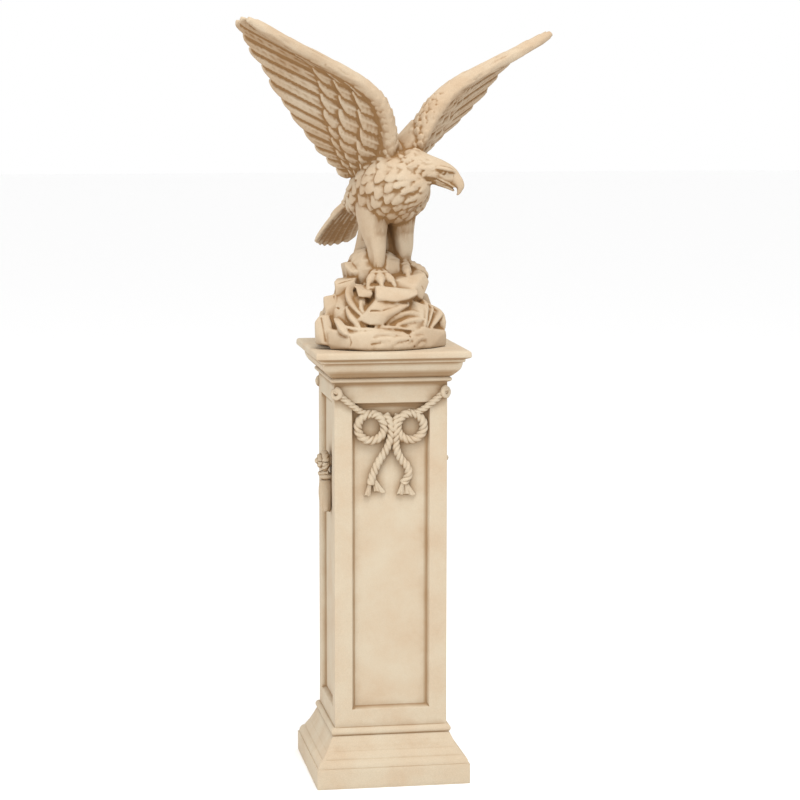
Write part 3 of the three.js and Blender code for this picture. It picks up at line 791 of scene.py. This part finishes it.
def tailPoint(across, out):
    share = 2 * across - 1
    rootWide, rootBack, rootHeight, rootDrop = tailSettings["root"]
    wide, back, curve, height, rise = tailSettings["tip"]
    root = np.stack([rootWide * share, np.full(len(share), rootBack),
                     rootHeight - rootDrop * np.abs(share)], axis=1)
    tip = np.stack([wide * share, back - curve * share ** 2, height + rise * share ** 2], axis=1)
    point = root + (tip - root) * out[:, None]
    arch = tailSettings["arch"] * 4 * out * (1 - out)
    return point + np.stack([0 * arch, 0.5 * arch, 0.85 * arch], axis=1)


def tailNormal(across, out):
    return fanNormal(tailPoint, across, out)


bladeSettings = {
    "columns": 13, "root": 0.7, "spread": 0.3, "thin": 0.35, "belly": 3.1, "under": 1.4, "shaft": 1.5,
    "sunk": 9,
    "barbPitch": 11, "barbDepth": 0.32, "barbSlant": 7,
}


# Long feather on a fan surface, from out[0] to out[1], round at its tip, tilted so that one edge lies
# over its neighbour, with a shaft and slanting barbs. face is 0 for a blade seen from both sides
def blade(surface, normalAt, middle, half, out, face, rise, tilt, thick, roundness, steps=44, s=bladeSettings):
    side = np.linspace(-1, 1, s["columns"])
    bow, lean = 1 - side ** 2, tilt * -side
    start, end = [surface(np.array([middle]), np.array([share])) for share in out]
    span = np.linalg.norm(end - start)
    rings = []
    for t in 1 - (1 - np.linspace(0, 1, steps)) ** 1.25:
        width = half * (s["root"] + s["spread"] * min(t / 0.3, 1))
        if t > 1 - roundness:
            width *= math.sqrt(max(0.015, 1 - ((t - 1 + roundness) / roundness) ** 2))
        across = np.clip(middle + side * width, -0.03, 1.03)
        outs = np.full(len(side), out[0] + (out[1] - out[0]) * t)
        skin = surface(across, outs)
        normal = normalAt(across, outs)
        shaft = s["shaft"] * np.exp(-(side / 0.11) ** 2) * (1 - 0.5 * t)
        slant = t * span - np.abs(side) * s["barbSlant"]
        barbs = s["barbDepth"] * np.sin(2 * math.pi * slant / s["barbPitch"])
        barbs *= np.clip(np.abs(side) * 3, 0, 1) * np.clip(1.4 - np.abs(side), 0, 1)
        body = lean + s["belly"] * bow
        if face == 0:
            core = thick / 2 * (1 - s["thin"] * t)
            top = skin + normal * (core + body * 0.9 + shaft + barbs)[:, None]
            base = skin - normal * (core - lean + s["under"] * bow + shaft + barbs)[:, None]
        else:
            height = rise[0] + (rise[1] - rise[0]) * t ** 0.8
            top = skin + normal * (face * (height + body + shaft + barbs))[:, None]
            base = skin + normal * (face * (rise[0] - s["sunk"]))
        rings.append(np.vstack([top, base[::-1]]))
    return loft(rings)


def makeWing(s):
    rng = np.random.default_rng(s["seed"])
    count = s["longFeathers"]
    parts = [blade(wingPoint, wingNormal, (k + 0.5) / count, 0.57 / count, (0.03, 1.0 - 0.02 * (k % 2)), 0,
                   None, 3.4, 8, 0.09 + 0.14 * (k < 3)) for k in range(count)]
    for face, number, first, last, start, (reach, less), rise in s["coverts"]:
        for k in range(number):
            middle = first + (last - first) * (k + 0.5) / number
            end = (reach - less * middle) * rng.uniform(*s["jitter"])
            parts.append(blade(wingPoint, wingNormal, middle, 0.54 * (last - first) / number,
                               (start, end), face, rise, 1.8, 6, 0.15, steps=26))
    # arm under the leading edge
    upward = armSettings["upward"]
    parts.append(ovalLoft(armStops, 28, 70, upward=upward))
    parts.append(ovalLoft(placed(armSettings["shoulder"]), 28, 30, upward=upward))
    return parts + armFeathers(armSettings)


def makeTail(s):
    count = s["feathers"]
    parts = [blade(tailPoint, tailNormal, (k + 0.5) / count, 0.86 / count, (0.0, 1.0), 0, None, 2.6, 11, 0.11)
             for k in range(count)]
    for face in (1, -1):
        for number, first, last, rise in s["coverts"]:
            for k in range(number):
                parts.append(blade(tailPoint, tailNormal, (k + 0.5) / number, 0.68 / number,
                                   (first, last + 0.05 * (k % 2)), face, rise, 2.0, 6, 0.3, steps=24))
    return parts


# Head: x is forward along the beak before it is turned
headSettings = {
    "at": (58, -112, 429), "yaw": 42, "pitch": -22, "upward": (1, 0, 0.6),
    "jaw": ((8, -22, 19, 9), (24, -23, 13, 6.5), (40, -24, 8.5, 4.5), (52, -26.5, 4, 2.5)),
    "eye": (12, 21.8, 8.5), "eyeRadii": (6.6, 5.4, 5.2), "eyeRim": (8.2, 24, 6.4),
    "feather": (38, 17, 3.0), "spacing": 13.5, "reach": (0.06, 0.36), "seed": 31,
    # brow, upper lid, lip, cheek, its lower edge and the feathers below it
    "ridges": (
        ((-12, 27, 8, 2.5, 2), (0, 28, 13.5, 5, 4), (12, 27, 17, 7, 5), (24, 22, 18.5, 6.5, 5),
         (34, 15, 19, 4.5, 3), (40, 9, 18, 2, 2)),
        ((2, 25, 1.5, 1.5, 1.5), (12, 25.5, -0.5, 2.6, 2), (22, 20.5, 1, 1.5, 1.5)),
        ((0, 25, -10.5, 2, 2), (18, 20.5, -12, 3.4, 2.8), (36, 13.5, -14.5, 2.8, 2.4),
         (51, 8, -18.5, 1.6, 1.6)),
        ((-44, 38, -8, 3, 2.5), (-26, 36, -9.5, 6, 4), (-8, 30.5, -9, 6, 4), (6, 25.5, -8, 2.5, 2)),
        ((-40, 37, -21, 3, 2), (-24, 32, -23, 5, 3.5), (-6, 24, -24, 2.5, 2)),
        ((-92, 58, -30, 4, 3), (-70, 60, -36, 8, 6), (-46, 54, -36, 9, 6), (-24, 42, -32, 7, 5),
         (-4, 25, -27, 4, 3)),
    ),
    # mouth, nostril, fold under the cheek and edge of the cere as (points, width, depth)
    "mouth": (((2, 25.5, -13.5), (16, 21, -15.8), (30, 15.5, -17), (42, 11, -19.5), (53, 7, -22)), 1.7, 3.0),
    "nostril": (((34, 13, -2), (37, 12, -3)), 1.9, 3.2),
    "fold": (((-34, 36, -15.5), (-16, 31, -16), (2, 25.5, -16)), 2.6, 3.2),
    "cere": (((38, 18, 17), (40, 14, 8), (41, 12.5, 0), (41, 12, -10)), 1.3, 0.8),
}


def alongX(stops):
    return np.array([[x, 0, z, wide, deep] for x, z, wide, deep in stops], float)


skullStops = alongX([
    [-104, -18, 12, 10], [-96, -17, 36, 34], [-74, -16, 56, 47], [-42, -9, 52, 43], [-14, -1, 38, 34],
    [5, 1, 29, 31], [22, 1, 23, 28], [34, 0, 17.5, 24.5], [44, -2, 13, 19.5], [54, -5, 10.5, 15],
    [61.5, -11, 8.5, 11], [63.5, -19, 6.2, 7], [64, -27, 4, 4.6], [62, -34, 1.3, 1.8],
])


def headMatrix(s):
    return (Matrix.Translation(s["at"]) @ Matrix.Rotation(math.radians(s["yaw"] - 90), 4, "Z")
            @ Matrix.Rotation(math.radians(-s["pitch"]), 4, "Y"))


def skullPoint(u, v):
    return skinPoint(skullStops, headSettings["upward"], u, v, columns=5)


def makeHead(s):
    parts = [ovalLoft(skullStops, 32, 70, upward=s["upward"]), ovalLoft(alongX(s["jaw"]), 18, 24)]
    x, y, z = s["eye"]
    for side in (-1, 1):
        parts += [ovalLoft(np.array(ridge, float) * (1, side, 1, 1, 1), 12, 24) for ridge in s["ridges"]]
        parts.append(ball((x, side * y, z), s["eyeRadii"], 16))

    def shape(u, v):
        throat = max(0.0, -math.sin(v))
        long, wide, lift = s["feather"]
        return long, wide + 4 * throat, lift + 1.2 * throat, -0.5 * math.cos(v)

    neck = strew(skullPoint, skullStops, s["reach"], lambda u: s["spacing"], shape, s["seed"])
    return [moved(part, headMatrix(s)) for part in parts + neck]


# Lines that are cut into the head, as (points, width, depth)
def headCuts(s):
    eye, (wide, out, tall) = s["eye"], s["eyeRim"]
    rim = [(eye[0] + wide * math.cos(a), out, eye[2] + tall * math.sin(a))
           for a in np.linspace(0, 2 * math.pi, 17)]
    cuts = []
    for line, width, depth in (s["mouth"], (rim, 1.8, 2.2), s["nostril"], s["fold"], s["cere"]):
        for side in (-1, 1):
            turned = [headMatrix(s) @ Vector((x, side * y, z)) for x, y, z in line]
            cuts.append((turned, width, depth))
    return cuts


legSettings = (
    {"left": 35, "forward": -6, "height": 192, "ankle": 21, "toes": (-82, -26, 38, 160)},
    {"left": -46, "forward": -2, "height": 174, "ankle": 18, "toes": (-60, -27, 6, 150)},
)
# toe and claw along the ground as (out, up, wide, deep)
toeSettings = {
    "front": 1.1, "hind": 0.7, "knuckle": 1.2, "waves": 4.5,
    "toe": ((0, 12, 13, 13), (10, 15, 12, 12), (19, 12, 12.5, 12.5), (28, 8, 11, 11.5), (38, 2, 12, 12.5),
            (47, -5, 9, 10)),
    "claw": ((42, 0, 7.5, 8.5), (50, -6, 6.4, 7.2), (55, -13, 4.2, 4.8), (56, -21, 1.4, 1.6)),
}


def makeLeg(s, t):
    left, forward, low, ankle = s["left"], s["forward"], s["height"], s["ankle"]
    calf = lambda share: ankle + (38 - ankle) * share
    stops = placed([[left, -22, 362, 40, 52], [left, -20, 318, 38, 46], [left, -14, 280, calf(0.6), 36],
                    [left, -6, 246, calf(0.25), 27], [left, forward, low + 26, ankle, 20],
                    [left, forward + 4, low, 0.8 * ankle, 15]])
    ridges = lambda u, a: 0.7 * np.sin(5 * a + 4 * u) * np.clip(u * 3, 0, 1) * np.clip((1 - u) * 4, 0, 1)
    knuckles = lambda u, a: t["knuckle"] * np.cos(2 * math.pi * u * t["waves"]) * np.clip(np.sin(a), 0, 1)
    parts = [ovalLoft(stops, 32, 50, upward=(0, -1, 0), bump=ridges)]
    for turn in s["toes"]:
        yaw = math.radians(turn)
        reach = t["hind"] if turn > 90 else t["front"]
        for stopsOf, rings, lumps in ((t["toe"], 30, knuckles), (t["claw"], 16, None)):
            line = [[left + math.sin(yaw) * out * reach, -(forward + 4 + math.cos(yaw) * out * reach),
                     low - 8 + up, wide, deep] for out, up, wide, deep in stopsOf]
            parts.append(ovalLoft(line, 14, rings, bump=lumps))
    return parts


# Rock: square to the column; x right, y back, z above the column's top
rockSettings = {
    "radius": 152, "sides": 64,
    # rings of the base: (share of the radius, height, x, y, how rough)
    "rings": ((0.965, 0, 0, 0, 0), (0.99, 4, 0, 0, 0.6), (1, 10, 0, 0, 1), (0.985, 20, 0, 0, -0.6),
              (0.99, 29, 0, 0, 0.8), (0.95, 35, 0, 0, 0), (0.86, 40, 0, 0, 0), (0.68, 84, 0, 10, 0),
              (0.5, 130, -6, 8, 0), (0.38, 165, -6, 8, 0)),
    "pinnacle": ((-6, 6, 130, 84, 70), (-12, 8, 190, 76, 62), (-8, 22, 206, 66, 50), (-2, 32, 262, 56, 40),
                 (0, 40, 330, 50, 34)),
    # (place, wide, deep, tall, turn, seed)
    "boulders": (((-112, 34, 24), 34, 44, 88, 10, 37), ((-142, -14, 6), 25, 34, 80, 50, 41),
                 ((96, 30, 26), 46, 44, 96, 30, 59), ((20, 98, 24), 66, 44, 92, 15, 71),
                 ((-58, 100, 24), 46, 36, 66, 40, 73)),
}


def rockBase(s):
    sides = s["sides"]
    turn = np.arange(sides) * 2 * math.pi / sides
    front = 18 * np.clip(-np.sin(turn + 0.12), 0, None) ** 3
    radius = s["radius"] + front + 5 * np.sin(3 * turn + 1) + 4 * np.sin(5 * turn)
    chisel = 1.6 * np.sin(17 * turn) + 1.4 * np.sin(29 * turn + 1)
    rings = []
    for share, z, x, y, rough in s["rings"]:
        r = share * radius + rough * chisel
        rings.append(np.stack([x + r * np.cos(turn), y + r * np.sin(turn), np.full(sides, float(z))], axis=1))
    return loft(rings)


def boulder(at, wide, deep, tall, turn, seed):
    draw = [seed]

    def jitter(reach):
        draw[0] = (draw[0] * 16807) % 2147483647
        return 1 + reach * (draw[0] / 2147483647 - 0.5)

    corners = []
    for level, share in ((0, 0.92), (0.55, 1), (1, 0.66)):
        for k in range(5):
            angle = k / 5 * 2 * math.pi + math.radians(turn)
            radius = share * jitter(0.3)
            corners.append((at[0] + wide * radius * math.cos(angle), at[1] + deep * radius * math.sin(angle),
                            at[2] + level * tall * jitter(0.16 if level == 1 else 0)))
    return hull(corners)


# A fold of cloth-like stone along a line of places: a sharp back with sloping sides
def pleat(line, wide, high):
    share = np.linspace(0, 1, 12)
    spots = curveAt(line, share)
    along = unit(np.gradient(spots, axis=0))
    out = unit(spots * (1, 1, 0) + (0, 0, 60))
    side = unit(np.cross(along, out))
    rings = []
    for i, t in enumerate(share):
        swell = math.sin(math.pi * (0.06 + 0.88 * t)) ** 0.7
        w, h = wide * swell, high * swell
        rings.append([spots[i] - side[i] * w - out[i] * 9, spots[i] - side[i] * w * 0.45 + out[i] * h * 0.45,
                      spots[i] + out[i] * h, spots[i] + side[i] * w * 0.5 + out[i] * h * 0.3,
                      spots[i] + side[i] * w - out[i] * 9, spots[i] - out[i] * 16])
    return loft(rings)


stones = (
    # the wedge under the front toes: its brow and its face
    ((-34, -118, 156), (-36, -139, 130), (74, -106, 142), (71, -118, 134), (44, -127, 122), (12, -136, 118),
     (-34, -138, 122), (-30, -60, 150), (60, -50, 145), (-40, -80, 100), (50, -80, 100)),
    ((-82, -130, 74), (-54, -144, 61), (-21, -144, 62), (50, -118, 106), (-54, -143, 97), (44, -126, 107),
     (-10, -148, 86), (-36, -133, 122), (-60, -70, 70), (20, -70, 60), (50, -70, 100), (-30, -60, 140),
     (60, -50, 135)),
    # ledge under both feet
    ((-52, -104, 150), (60, -104, 142), (98, -62, 182), (110, -58, 160), (89, -80, 117), (78, -14, 192),
     (54, 4, 196), (10, -50, 170), (-56, -20, 160), (50, 44, 178), (-44, 50, 166), (-66, -84, 104),
     (62, 56, 90), (-70, 56, 90)),
    # shelf beside the wedge
    ((-82, -112, 150), (-40, -119, 138), (-78, -119, 128), (-44, -116, 122), (-80, -66, 160), (-40, -70, 154)),
    # body of rock behind the folds at the left
    ((-126, -54, 150), (-98, -84, 138), (-60, -104, 140), (-140, -72, 90), (-112, -101, 96), (-84, -121, 88),
     (-66, -119, 108), (-84, -107, 124), (-64, -133, 66), (-60, -139, 46), (-142, -88, 60),
     (-118, -112, 50), (-150, -60, 4), (-120, -110, 4), (-40, -60, 150), (-56, -132, 44), (0, -60, 4)),
    # steps at the left
    ((-129, -60, 164), (-126, -70, 158), (-76, -62, 170), (-126, -70, 133), (-104, -80, 131), (-88, -84, 152),
     (-112, 10, 166), (-60, 0, 170), (-110, 10, 120), (-60, -30, 120)),
    ((-97, -14, 207), (-96, -22, 198), (-82, -40, 184), (-56, -40, 186), (-44, -20, 208), (-98, 40, 200),
     (-50, 50, 205), (-90, -20, 150), (-50, -40, 150), (-90, 40, 150)),
    # cracked stone and the lump beside the rim
    ((-155, -52, 126), (-131, -66, 131), (-108, -78, 117), (-104, -88, 101), (-121, -92, 80), (-152, -74, 80),
     (-148, -30, 120), (-100, -30, 130), (-150, -30, 80), (-90, -50, 80)),
    ((-181, -86, 66), (-169, -90, 82), (-148, -98, 82), (-140, -104, 60), (-166, -110, 14), (-179, -90, 30),
     (-150, -112, 10), (-170, -56, 72), (-176, -60, 8), (-140, -60, 84), (-130, -80, 4)),
    # blocks of the rim
    ((-152, -108, 51), (-150, -113, 12), (-143, -118, 48), (-104, -146, 38), (-104, -151, 7), (-57, -161, 42),
     (-58, -167, 7), (43, -155, 37), (50, -151, 5), (-146, -106, 0), (-100, -60, 48), (30, -60, 44),
     (0, -60, 0), (-100, -60, 0), (-56, -163, 0), (46, -150, 0)),
    ((47, -146, 40), (56, -149, 6), (84, -126, 52), (104, -126, 6), (149, -80, 38), (150, -76, 8),
     (138, -40, 46), (60, -60, 52), (60, -60, 0), (140, -40, 0), (148, -76, 0), (100, -124, 0), (54, -146, 0)),
)
pleats = (
    (((-136, -104, 77), (-127, -119, 63), (-121, -138, 49), (-109, -148, 38)), 13, 8),
    (((-107, -106, 106), (-100, -120, 85), (-90, -132, 70), (-74, -142, 54)), 12, 7),
    (((-116, -124, 60), (-91, -138, 52), (-47, -146, 50), (34, -146, 42)), 10, 7),
    (((-90, -146, 44), (-50, -154, 44), (0, -156, 42), (42, -150, 38)), 8, 5),
    (((-10, -136, 62), (15, -127, 79), (46, -117, 87), (84, -108, 81)), 15, 9),
    (((8, -138, 58), (47, -128, 68), (86, -114, 72)), 12, 8),
    (((-40, -140, 57), (-1, -142, 56), (54, -138, 48)), 7, 5),
    (((76, -60, 120), (95, -72, 108), (93, -95, 86), (89, -120, 56)), 15, 10),
    (((84, -52, 116), (112, -66, 97), (107, -86, 79), (96, -114, 54)), 9, 9),
    (((92, -36, 112), (137, -58, 83), (124, -82, 67), (106, -108, 50)), 12, 9),
    (((96, -20, 104), (139, -48, 82), (145, -62, 62), (147, -70, 42)), 14, 8),
    (((-88, -100, 168), (-99, -98, 148), (-99, -104, 124), (-86, -118, 100), (-64, -132, 78)), 13, 12),
    (((-70, -112, 122), (-72, -122, 106), (-66, -130, 88)), 7, 5),
)
# the mass that carries the folds at the right
massBehind = ((84, -113, 78), (46, -121, 81), (15, -130, 70), (50, -139, 50), (86, -104, 92), (58, -96, 118),
              (92, -92, 104), (132, -56, 80), (140, -60, 40), (88, -124, 40), (10, -138, 40), (-10, -134, 56),
              (96, -20, 108), (140, -10, 40), (20, -60, 118), (0, -60, 40))
# lines cut into the rock as (points, width, depth): the wedge's cleft, beds in the rim, and cracks
rockCuts = (
    (((-50, -143, 97), (-24, -146, 98), (6, -139, 106), (26, -132, 112), (40, -127, 113)), 3.0, 4.5),
    (((-52, -164, 17), (-22, -163, 21), (8, -161, 19), (40, -157, 24)), 1.8, 2.0),
    (((45, -150, 44), (46, -151, 27), (55, -149, 8)), 2.4, 3.5),
    (((-131, -68, 128), (-133, -78, 113), (-130, -84, 102), (-139, -82, 94), (-148, -74, 102)), 2.4, 3.2),
    (((-130, -84, 102), (-119, -88, 98), (-108, -88, 108)), 2.4, 3.0),
    (((-126, -72, 157), (-100, -66, 164), (-78, -62, 168)), 2.0, 2.0),
    (((-166, -94, 76), (-162, -104, 50), (-158, -112, 22)), 3.0, 2.6),
    (((-104, -149, 34), (-100, -151, 20), (-104, -151, 8)), 2.2, 1.8),
    (((89, -80, 150), (96, -76, 138), (92, -80, 124)), 2.2, 2.4),
)


def makeRock(s):
    parts = [rockBase(s)] + [hull(stone) for stone in stones] + [pleat(*fold) for fold in pleats]
    parts += [hull(massBehind), ovalLoft(s["pinnacle"], 14, 24, upward=(0, -1, 0))]
    return parts + [boulder(*spot) for spot in s["boulders"]]


# Softens a mesh, more where weight is high
def relax(obj, weight, rounds):
    points, average = readPoints(obj.data), neighbourMean(obj.data)
    for _ in range(rounds):
        points += (average(points) - points) * weight[:, None]
    writePoints(obj.data, points)


# Cuts soft grooves into points (m) along lines of places (m), each (line, width in mm, depth in mm)
def carve(points, normals, cuts):
    for line, width, depth in cuts:
        line = np.array([place[:] for place in line])
        w = width * mm
        near = np.all((points > line.min(axis=0) - 3 * w) & (points < line.max(axis=0) + 3 * w), axis=1)
        chosen = np.nonzero(near)[0]
        if not len(chosen):
            continue
        best = np.full(len(chosen), np.inf)
        for a, b in zip(line[:-1], line[1:]):
            run = b - a
            share = np.clip((points[chosen] - a) @ run / max(run @ run, 1e-12), 0, 1)
            best = np.minimum(best, np.linalg.norm(points[chosen] - a - share[:, None] * run, axis=1))
        points[chosen] -= normals[chosen] * (depth * mm * np.exp(-(best / w) ** 2))[:, None]
    return points


def makeEagle(s):
    stand = Matrix.Translation(s["stance"]) @ Matrix.Rotation(math.radians(s["turn"]), 4, "Z")
    onTop = Matrix.Translation((0, 0, s["stance"][2]))
    bird = makeTrunk() + breastFeathers(breastSettings) + makeHead(headSettings) + makeTail(tailSettings)
    for leg in legSettings:
        bird += makeLeg(leg, toeSettings)
    wing, w = makeWing(wingSettings), wingSettings
    reach, shoulder = w["rightReach"], Matrix.Translation((0, 0, w["shoulder"]))
    other = (shoulder @ Matrix.Rotation(math.radians(w["rightLift"]), 4, "Y")
             @ Matrix.Diagonal((-reach, 1, reach, 1)) @ Matrix.Translation((0, 0, -w["shoulder"])))
    bird += wing + [moved(part, other, flip=True) for part in wing]
    eagle = meshFrom("eagleCast", [moved(part, stand) for part in bird]
                     + [moved(part, onTop) for part in makeRock(rockSettings)])
    print("eagle parts joined", len(eagle.data.polygons))
    applyModifier(eagle, "REMESH", mode="VOXEL", voxel_size=s["voxel"] * mm, adaptivity=0)
    print("eagle remeshed", len(eagle.data.polygons))
    floorLevel = s["stance"][2] * mm
    heights = readPoints(eagle.data)[:, 2]
    rockness = np.clip((floorLevel + s["rockTop"] - heights) / s["rockFade"], 0, 1)
    for weight, more, rounds in s["relax"]:
        relax(eagle, weight + more * rockness, rounds)
    cuts = [([matrix @ Vector(place) * mm for place in line], width, depth)
            for matrix, lines in ((stand, headCuts(headSettings)), (onTop, rockCuts))
            for line, width, depth in lines]
    points = carve(readPoints(eagle.data), readNormals(eagle.data), cuts)
    points[:, 2] = np.maximum(points[:, 2], floorLevel)
    low, high = np.array(cadBox[0]), np.array(cadBox[1])
    eagle.data.vertices.foreach_set("co", np.clip(points, low, high).ravel())
    applyModifier(eagle, "TRIANGULATE")
    ratio = s["triangles"] / len(eagle.data.polygons)
    if ratio < 1:
        applyModifier(eagle, "DECIMATE", ratio=ratio)
    points = np.clip(readPoints(eagle.data), (low[0], low[1], floorLevel), high)
    writePoints(eagle.data, points)
    print("eagle thinned", len(eagle.data.polygons))
    # brown wash in the grooves, painted shade where the surface is hidden or looks down
    addWashAndShade(eagle, washAndShadeSettings, **s["washAndShade"])
    makeActive(eagle)
    bpy.ops.object.shade_smooth()
    return eagle


# Materials. Each range is (from, from, to, to); the range of the brown wash and painted shade leaves out the
# third, which is 0

stoneSettings = {
    "grain": 520, "roughness": (0.78, 0.93), "bump": 0.3, "bumpDistance": 0.0008, "specular": 0.25,
    "warmRange": (0.38, 0.68, 0.0, 0.75), "speckRange": (0.3, 0.7, 0.86, 1.1), "speckShare": 0.6,
    "washAndShadeBreak": 0.3,
}
columnStoneSettings = {
    **stoneSettings, "light": (0.50, 0.422, 0.312), "warm": (0.465, 0.35, 0.237),
    # the brown of the patina, also used as the colour of the painted shade
    "washAndShade": (0.22, 0.12, 0.044), "mottle": 9, "washAndShadeRange": (0.2, 0.85, 0.8),
}
eagleStoneSettings = {
    **stoneSettings, "light": (0.495, 0.40, 0.288), "warm": (0.46, 0.337, 0.222),
    # the brown of the patina, also used as the colour of the painted shade
    "washAndShade": (0.205, 0.105, 0.035), "mottle": 11, "washAndShadeRange": (0.06, 0.84, 0.95),
}


# Gives a node's inputs their values, or the sockets that feed them
def feed(tree, node, inputs):
    for key, value in inputs.items():
        if isinstance(value, bpy.types.NodeSocket):
            tree.links.new(value, node.inputs[key])
        else:
            node.inputs[key].default_value = value


def addNode(tree, kind, inputs, **settings):
    node = tree.nodes.new("ShaderNode" + kind)
    for key, value in settings.items():
        setattr(node, key, value)
    feed(tree, node, inputs)
    return node


# Sandy grain and soft mottling as a colour mask and a height
def makeGrainGroup():
    tree = bpy.data.node_groups.new("castGrain", "ShaderNodeTree")
    for name, way, kind in (("Vector", "INPUT", "Vector"), ("Grain", "INPUT", "Float"),
                            ("Mottle", "INPUT", "Float"), ("Patches", "OUTPUT", "Float"),
                            ("Speckle", "OUTPUT", "Float"), ("Height", "OUTPUT", "Float")):
        tree.interface.new_socket(name=name, in_out=way, socket_type="NodeSocket" + kind)
    come, go = tree.nodes.new("NodeGroupInput"), tree.nodes.new("NodeGroupOutput")
    place, grain, mottle = [come.outputs[name] for name in ("Vector", "Grain", "Mottle")]
    patches = addNode(tree, "TexNoise", {"Vector": place, "Scale": mottle, "Detail": 5, "Roughness": 0.62})
    speckle = addNode(tree, "TexNoise", {"Vector": place, "Scale": grain, "Detail": 3})
    third = addNode(tree, "Math", {0: grain, 1: 0.33}, operation="MULTIPLY")
    pits = addNode(tree, "TexNoise", {"Vector": place, "Scale": third.outputs[0], "Detail": 2})
    both = addNode(tree, "Math", {0: speckle.outputs["Fac"], 1: pits.outputs["Fac"]}, operation="ADD")
    feed(tree, go, {"Patches": patches.outputs["Fac"], "Speckle": speckle.outputs["Fac"],
                    "Height": both.outputs[0]})
    return tree


def ramp(tree, value, stops):
    ends = dict(zip(("From Min", "From Max", "To Min", "To Max"), stops))
    return addNode(tree, "MapRange", {"Value": value, **ends}).outputs[0]


def mixed(tree, a, b, share, blend="MIX"):
    node = addNode(tree, "Mix", {}, data_type="RGBA", blend_type=blend)
    feed(tree, node, {"A": a, "B": b, "Factor": share})
    return node.outputs["Result"]


def makeStone(name, s, group):
    material = bpy.data.materials.new(name)
    material.use_nodes = True
    tree = material.node_tree
    place = addNode(tree, "TexCoord", {}).outputs["Object"]
    grain = addNode(tree, "Group", {"Vector": place, "Grain": s["grain"], "Mottle": s["mottle"]},
                    node_tree=group)
    patches, speckle, height = [grain.outputs[name] for name in ("Patches", "Speckle", "Height")]
    ground = mixed(tree, (*s["light"], 1), (*s["warm"], 1), ramp(tree, patches, s["warmRange"]))
    dotted = mixed(tree, ground, ramp(tree, speckle, s["speckRange"]), s["speckShare"], "MULTIPLY")
    # Mixes in the brown from the attribute: patina in the hollows plus painted shade where the surface is
    # hidden or looks down
    hidden = addNode(tree, "Attribute", {}, attribute_name="washAndShade")
    broken = addNode(tree, "Math", {0: patches, 1: s["washAndShadeBreak"], 2: hidden.outputs["Fac"]},
                     operation="MULTIPLY_ADD")
    washAndShadeFrom, washAndShadeTo, washAndShadeMost = s["washAndShadeRange"]
    washedAndShaded = ramp(tree, broken.outputs[0], (washAndShadeFrom, washAndShadeTo, 0.0, washAndShadeMost))
    bump = addNode(tree, "Bump", {"Strength": s["bump"], "Distance": s["bumpDistance"], "Height": height})
    feed(tree, tree.nodes["Principled BSDF"], {
        "Base Color": mixed(tree, dotted, (*s["washAndShade"], 1), washedAndShaded),
        "Roughness": ramp(tree, speckle, (0.3, 0.7, *s["roughness"])),
        "Specular IOR Level": s["specular"], "Normal": bump.outputs["Normal"],
    })
    return material


floorSettings = {"size": 60, "place": (0, 15, 0), "colour": (0.97, 0.97, 0.97, 1), "roughness": 0.9}


def makeFloor(s):
    deselectAll()
    bpy.ops.mesh.primitive_plane_add(size=s["size"], location=s["place"])
    floor = bpy.context.active_object
    floor.name = "floor"
    material = bpy.data.materials.new("paleFloor")
    material.use_nodes = True
    feed(material.node_tree, material.node_tree.nodes["Principled BSDF"],
         {"Base Color": s["colour"], "Roughness": s["roughness"]})
    floor.data.materials.append(material)


def finishPiece(obj, node, material):
    obj.data.materials.clear()
    obj.data.materials.append(material)
    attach(obj, "root")
    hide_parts(node)


grainGroup = makeGrainGroup()
columnStone = makeStone("columnStone", columnStoneSettings, grainGroup)
eagleStone = makeStone("eagleStone", eagleStoneSettings, grainGroup)
makeFloor(floorSettings)
column = makeColumn(columnSizes)
finishPiece(column, "column", columnStone)
print("column made", len(column.data.polygons))
eagle = makeEagle(eagleSettings)
finishPiece(eagle, "eagle", eagleStone)
print("eagle made", len(eagle.data.polygons))
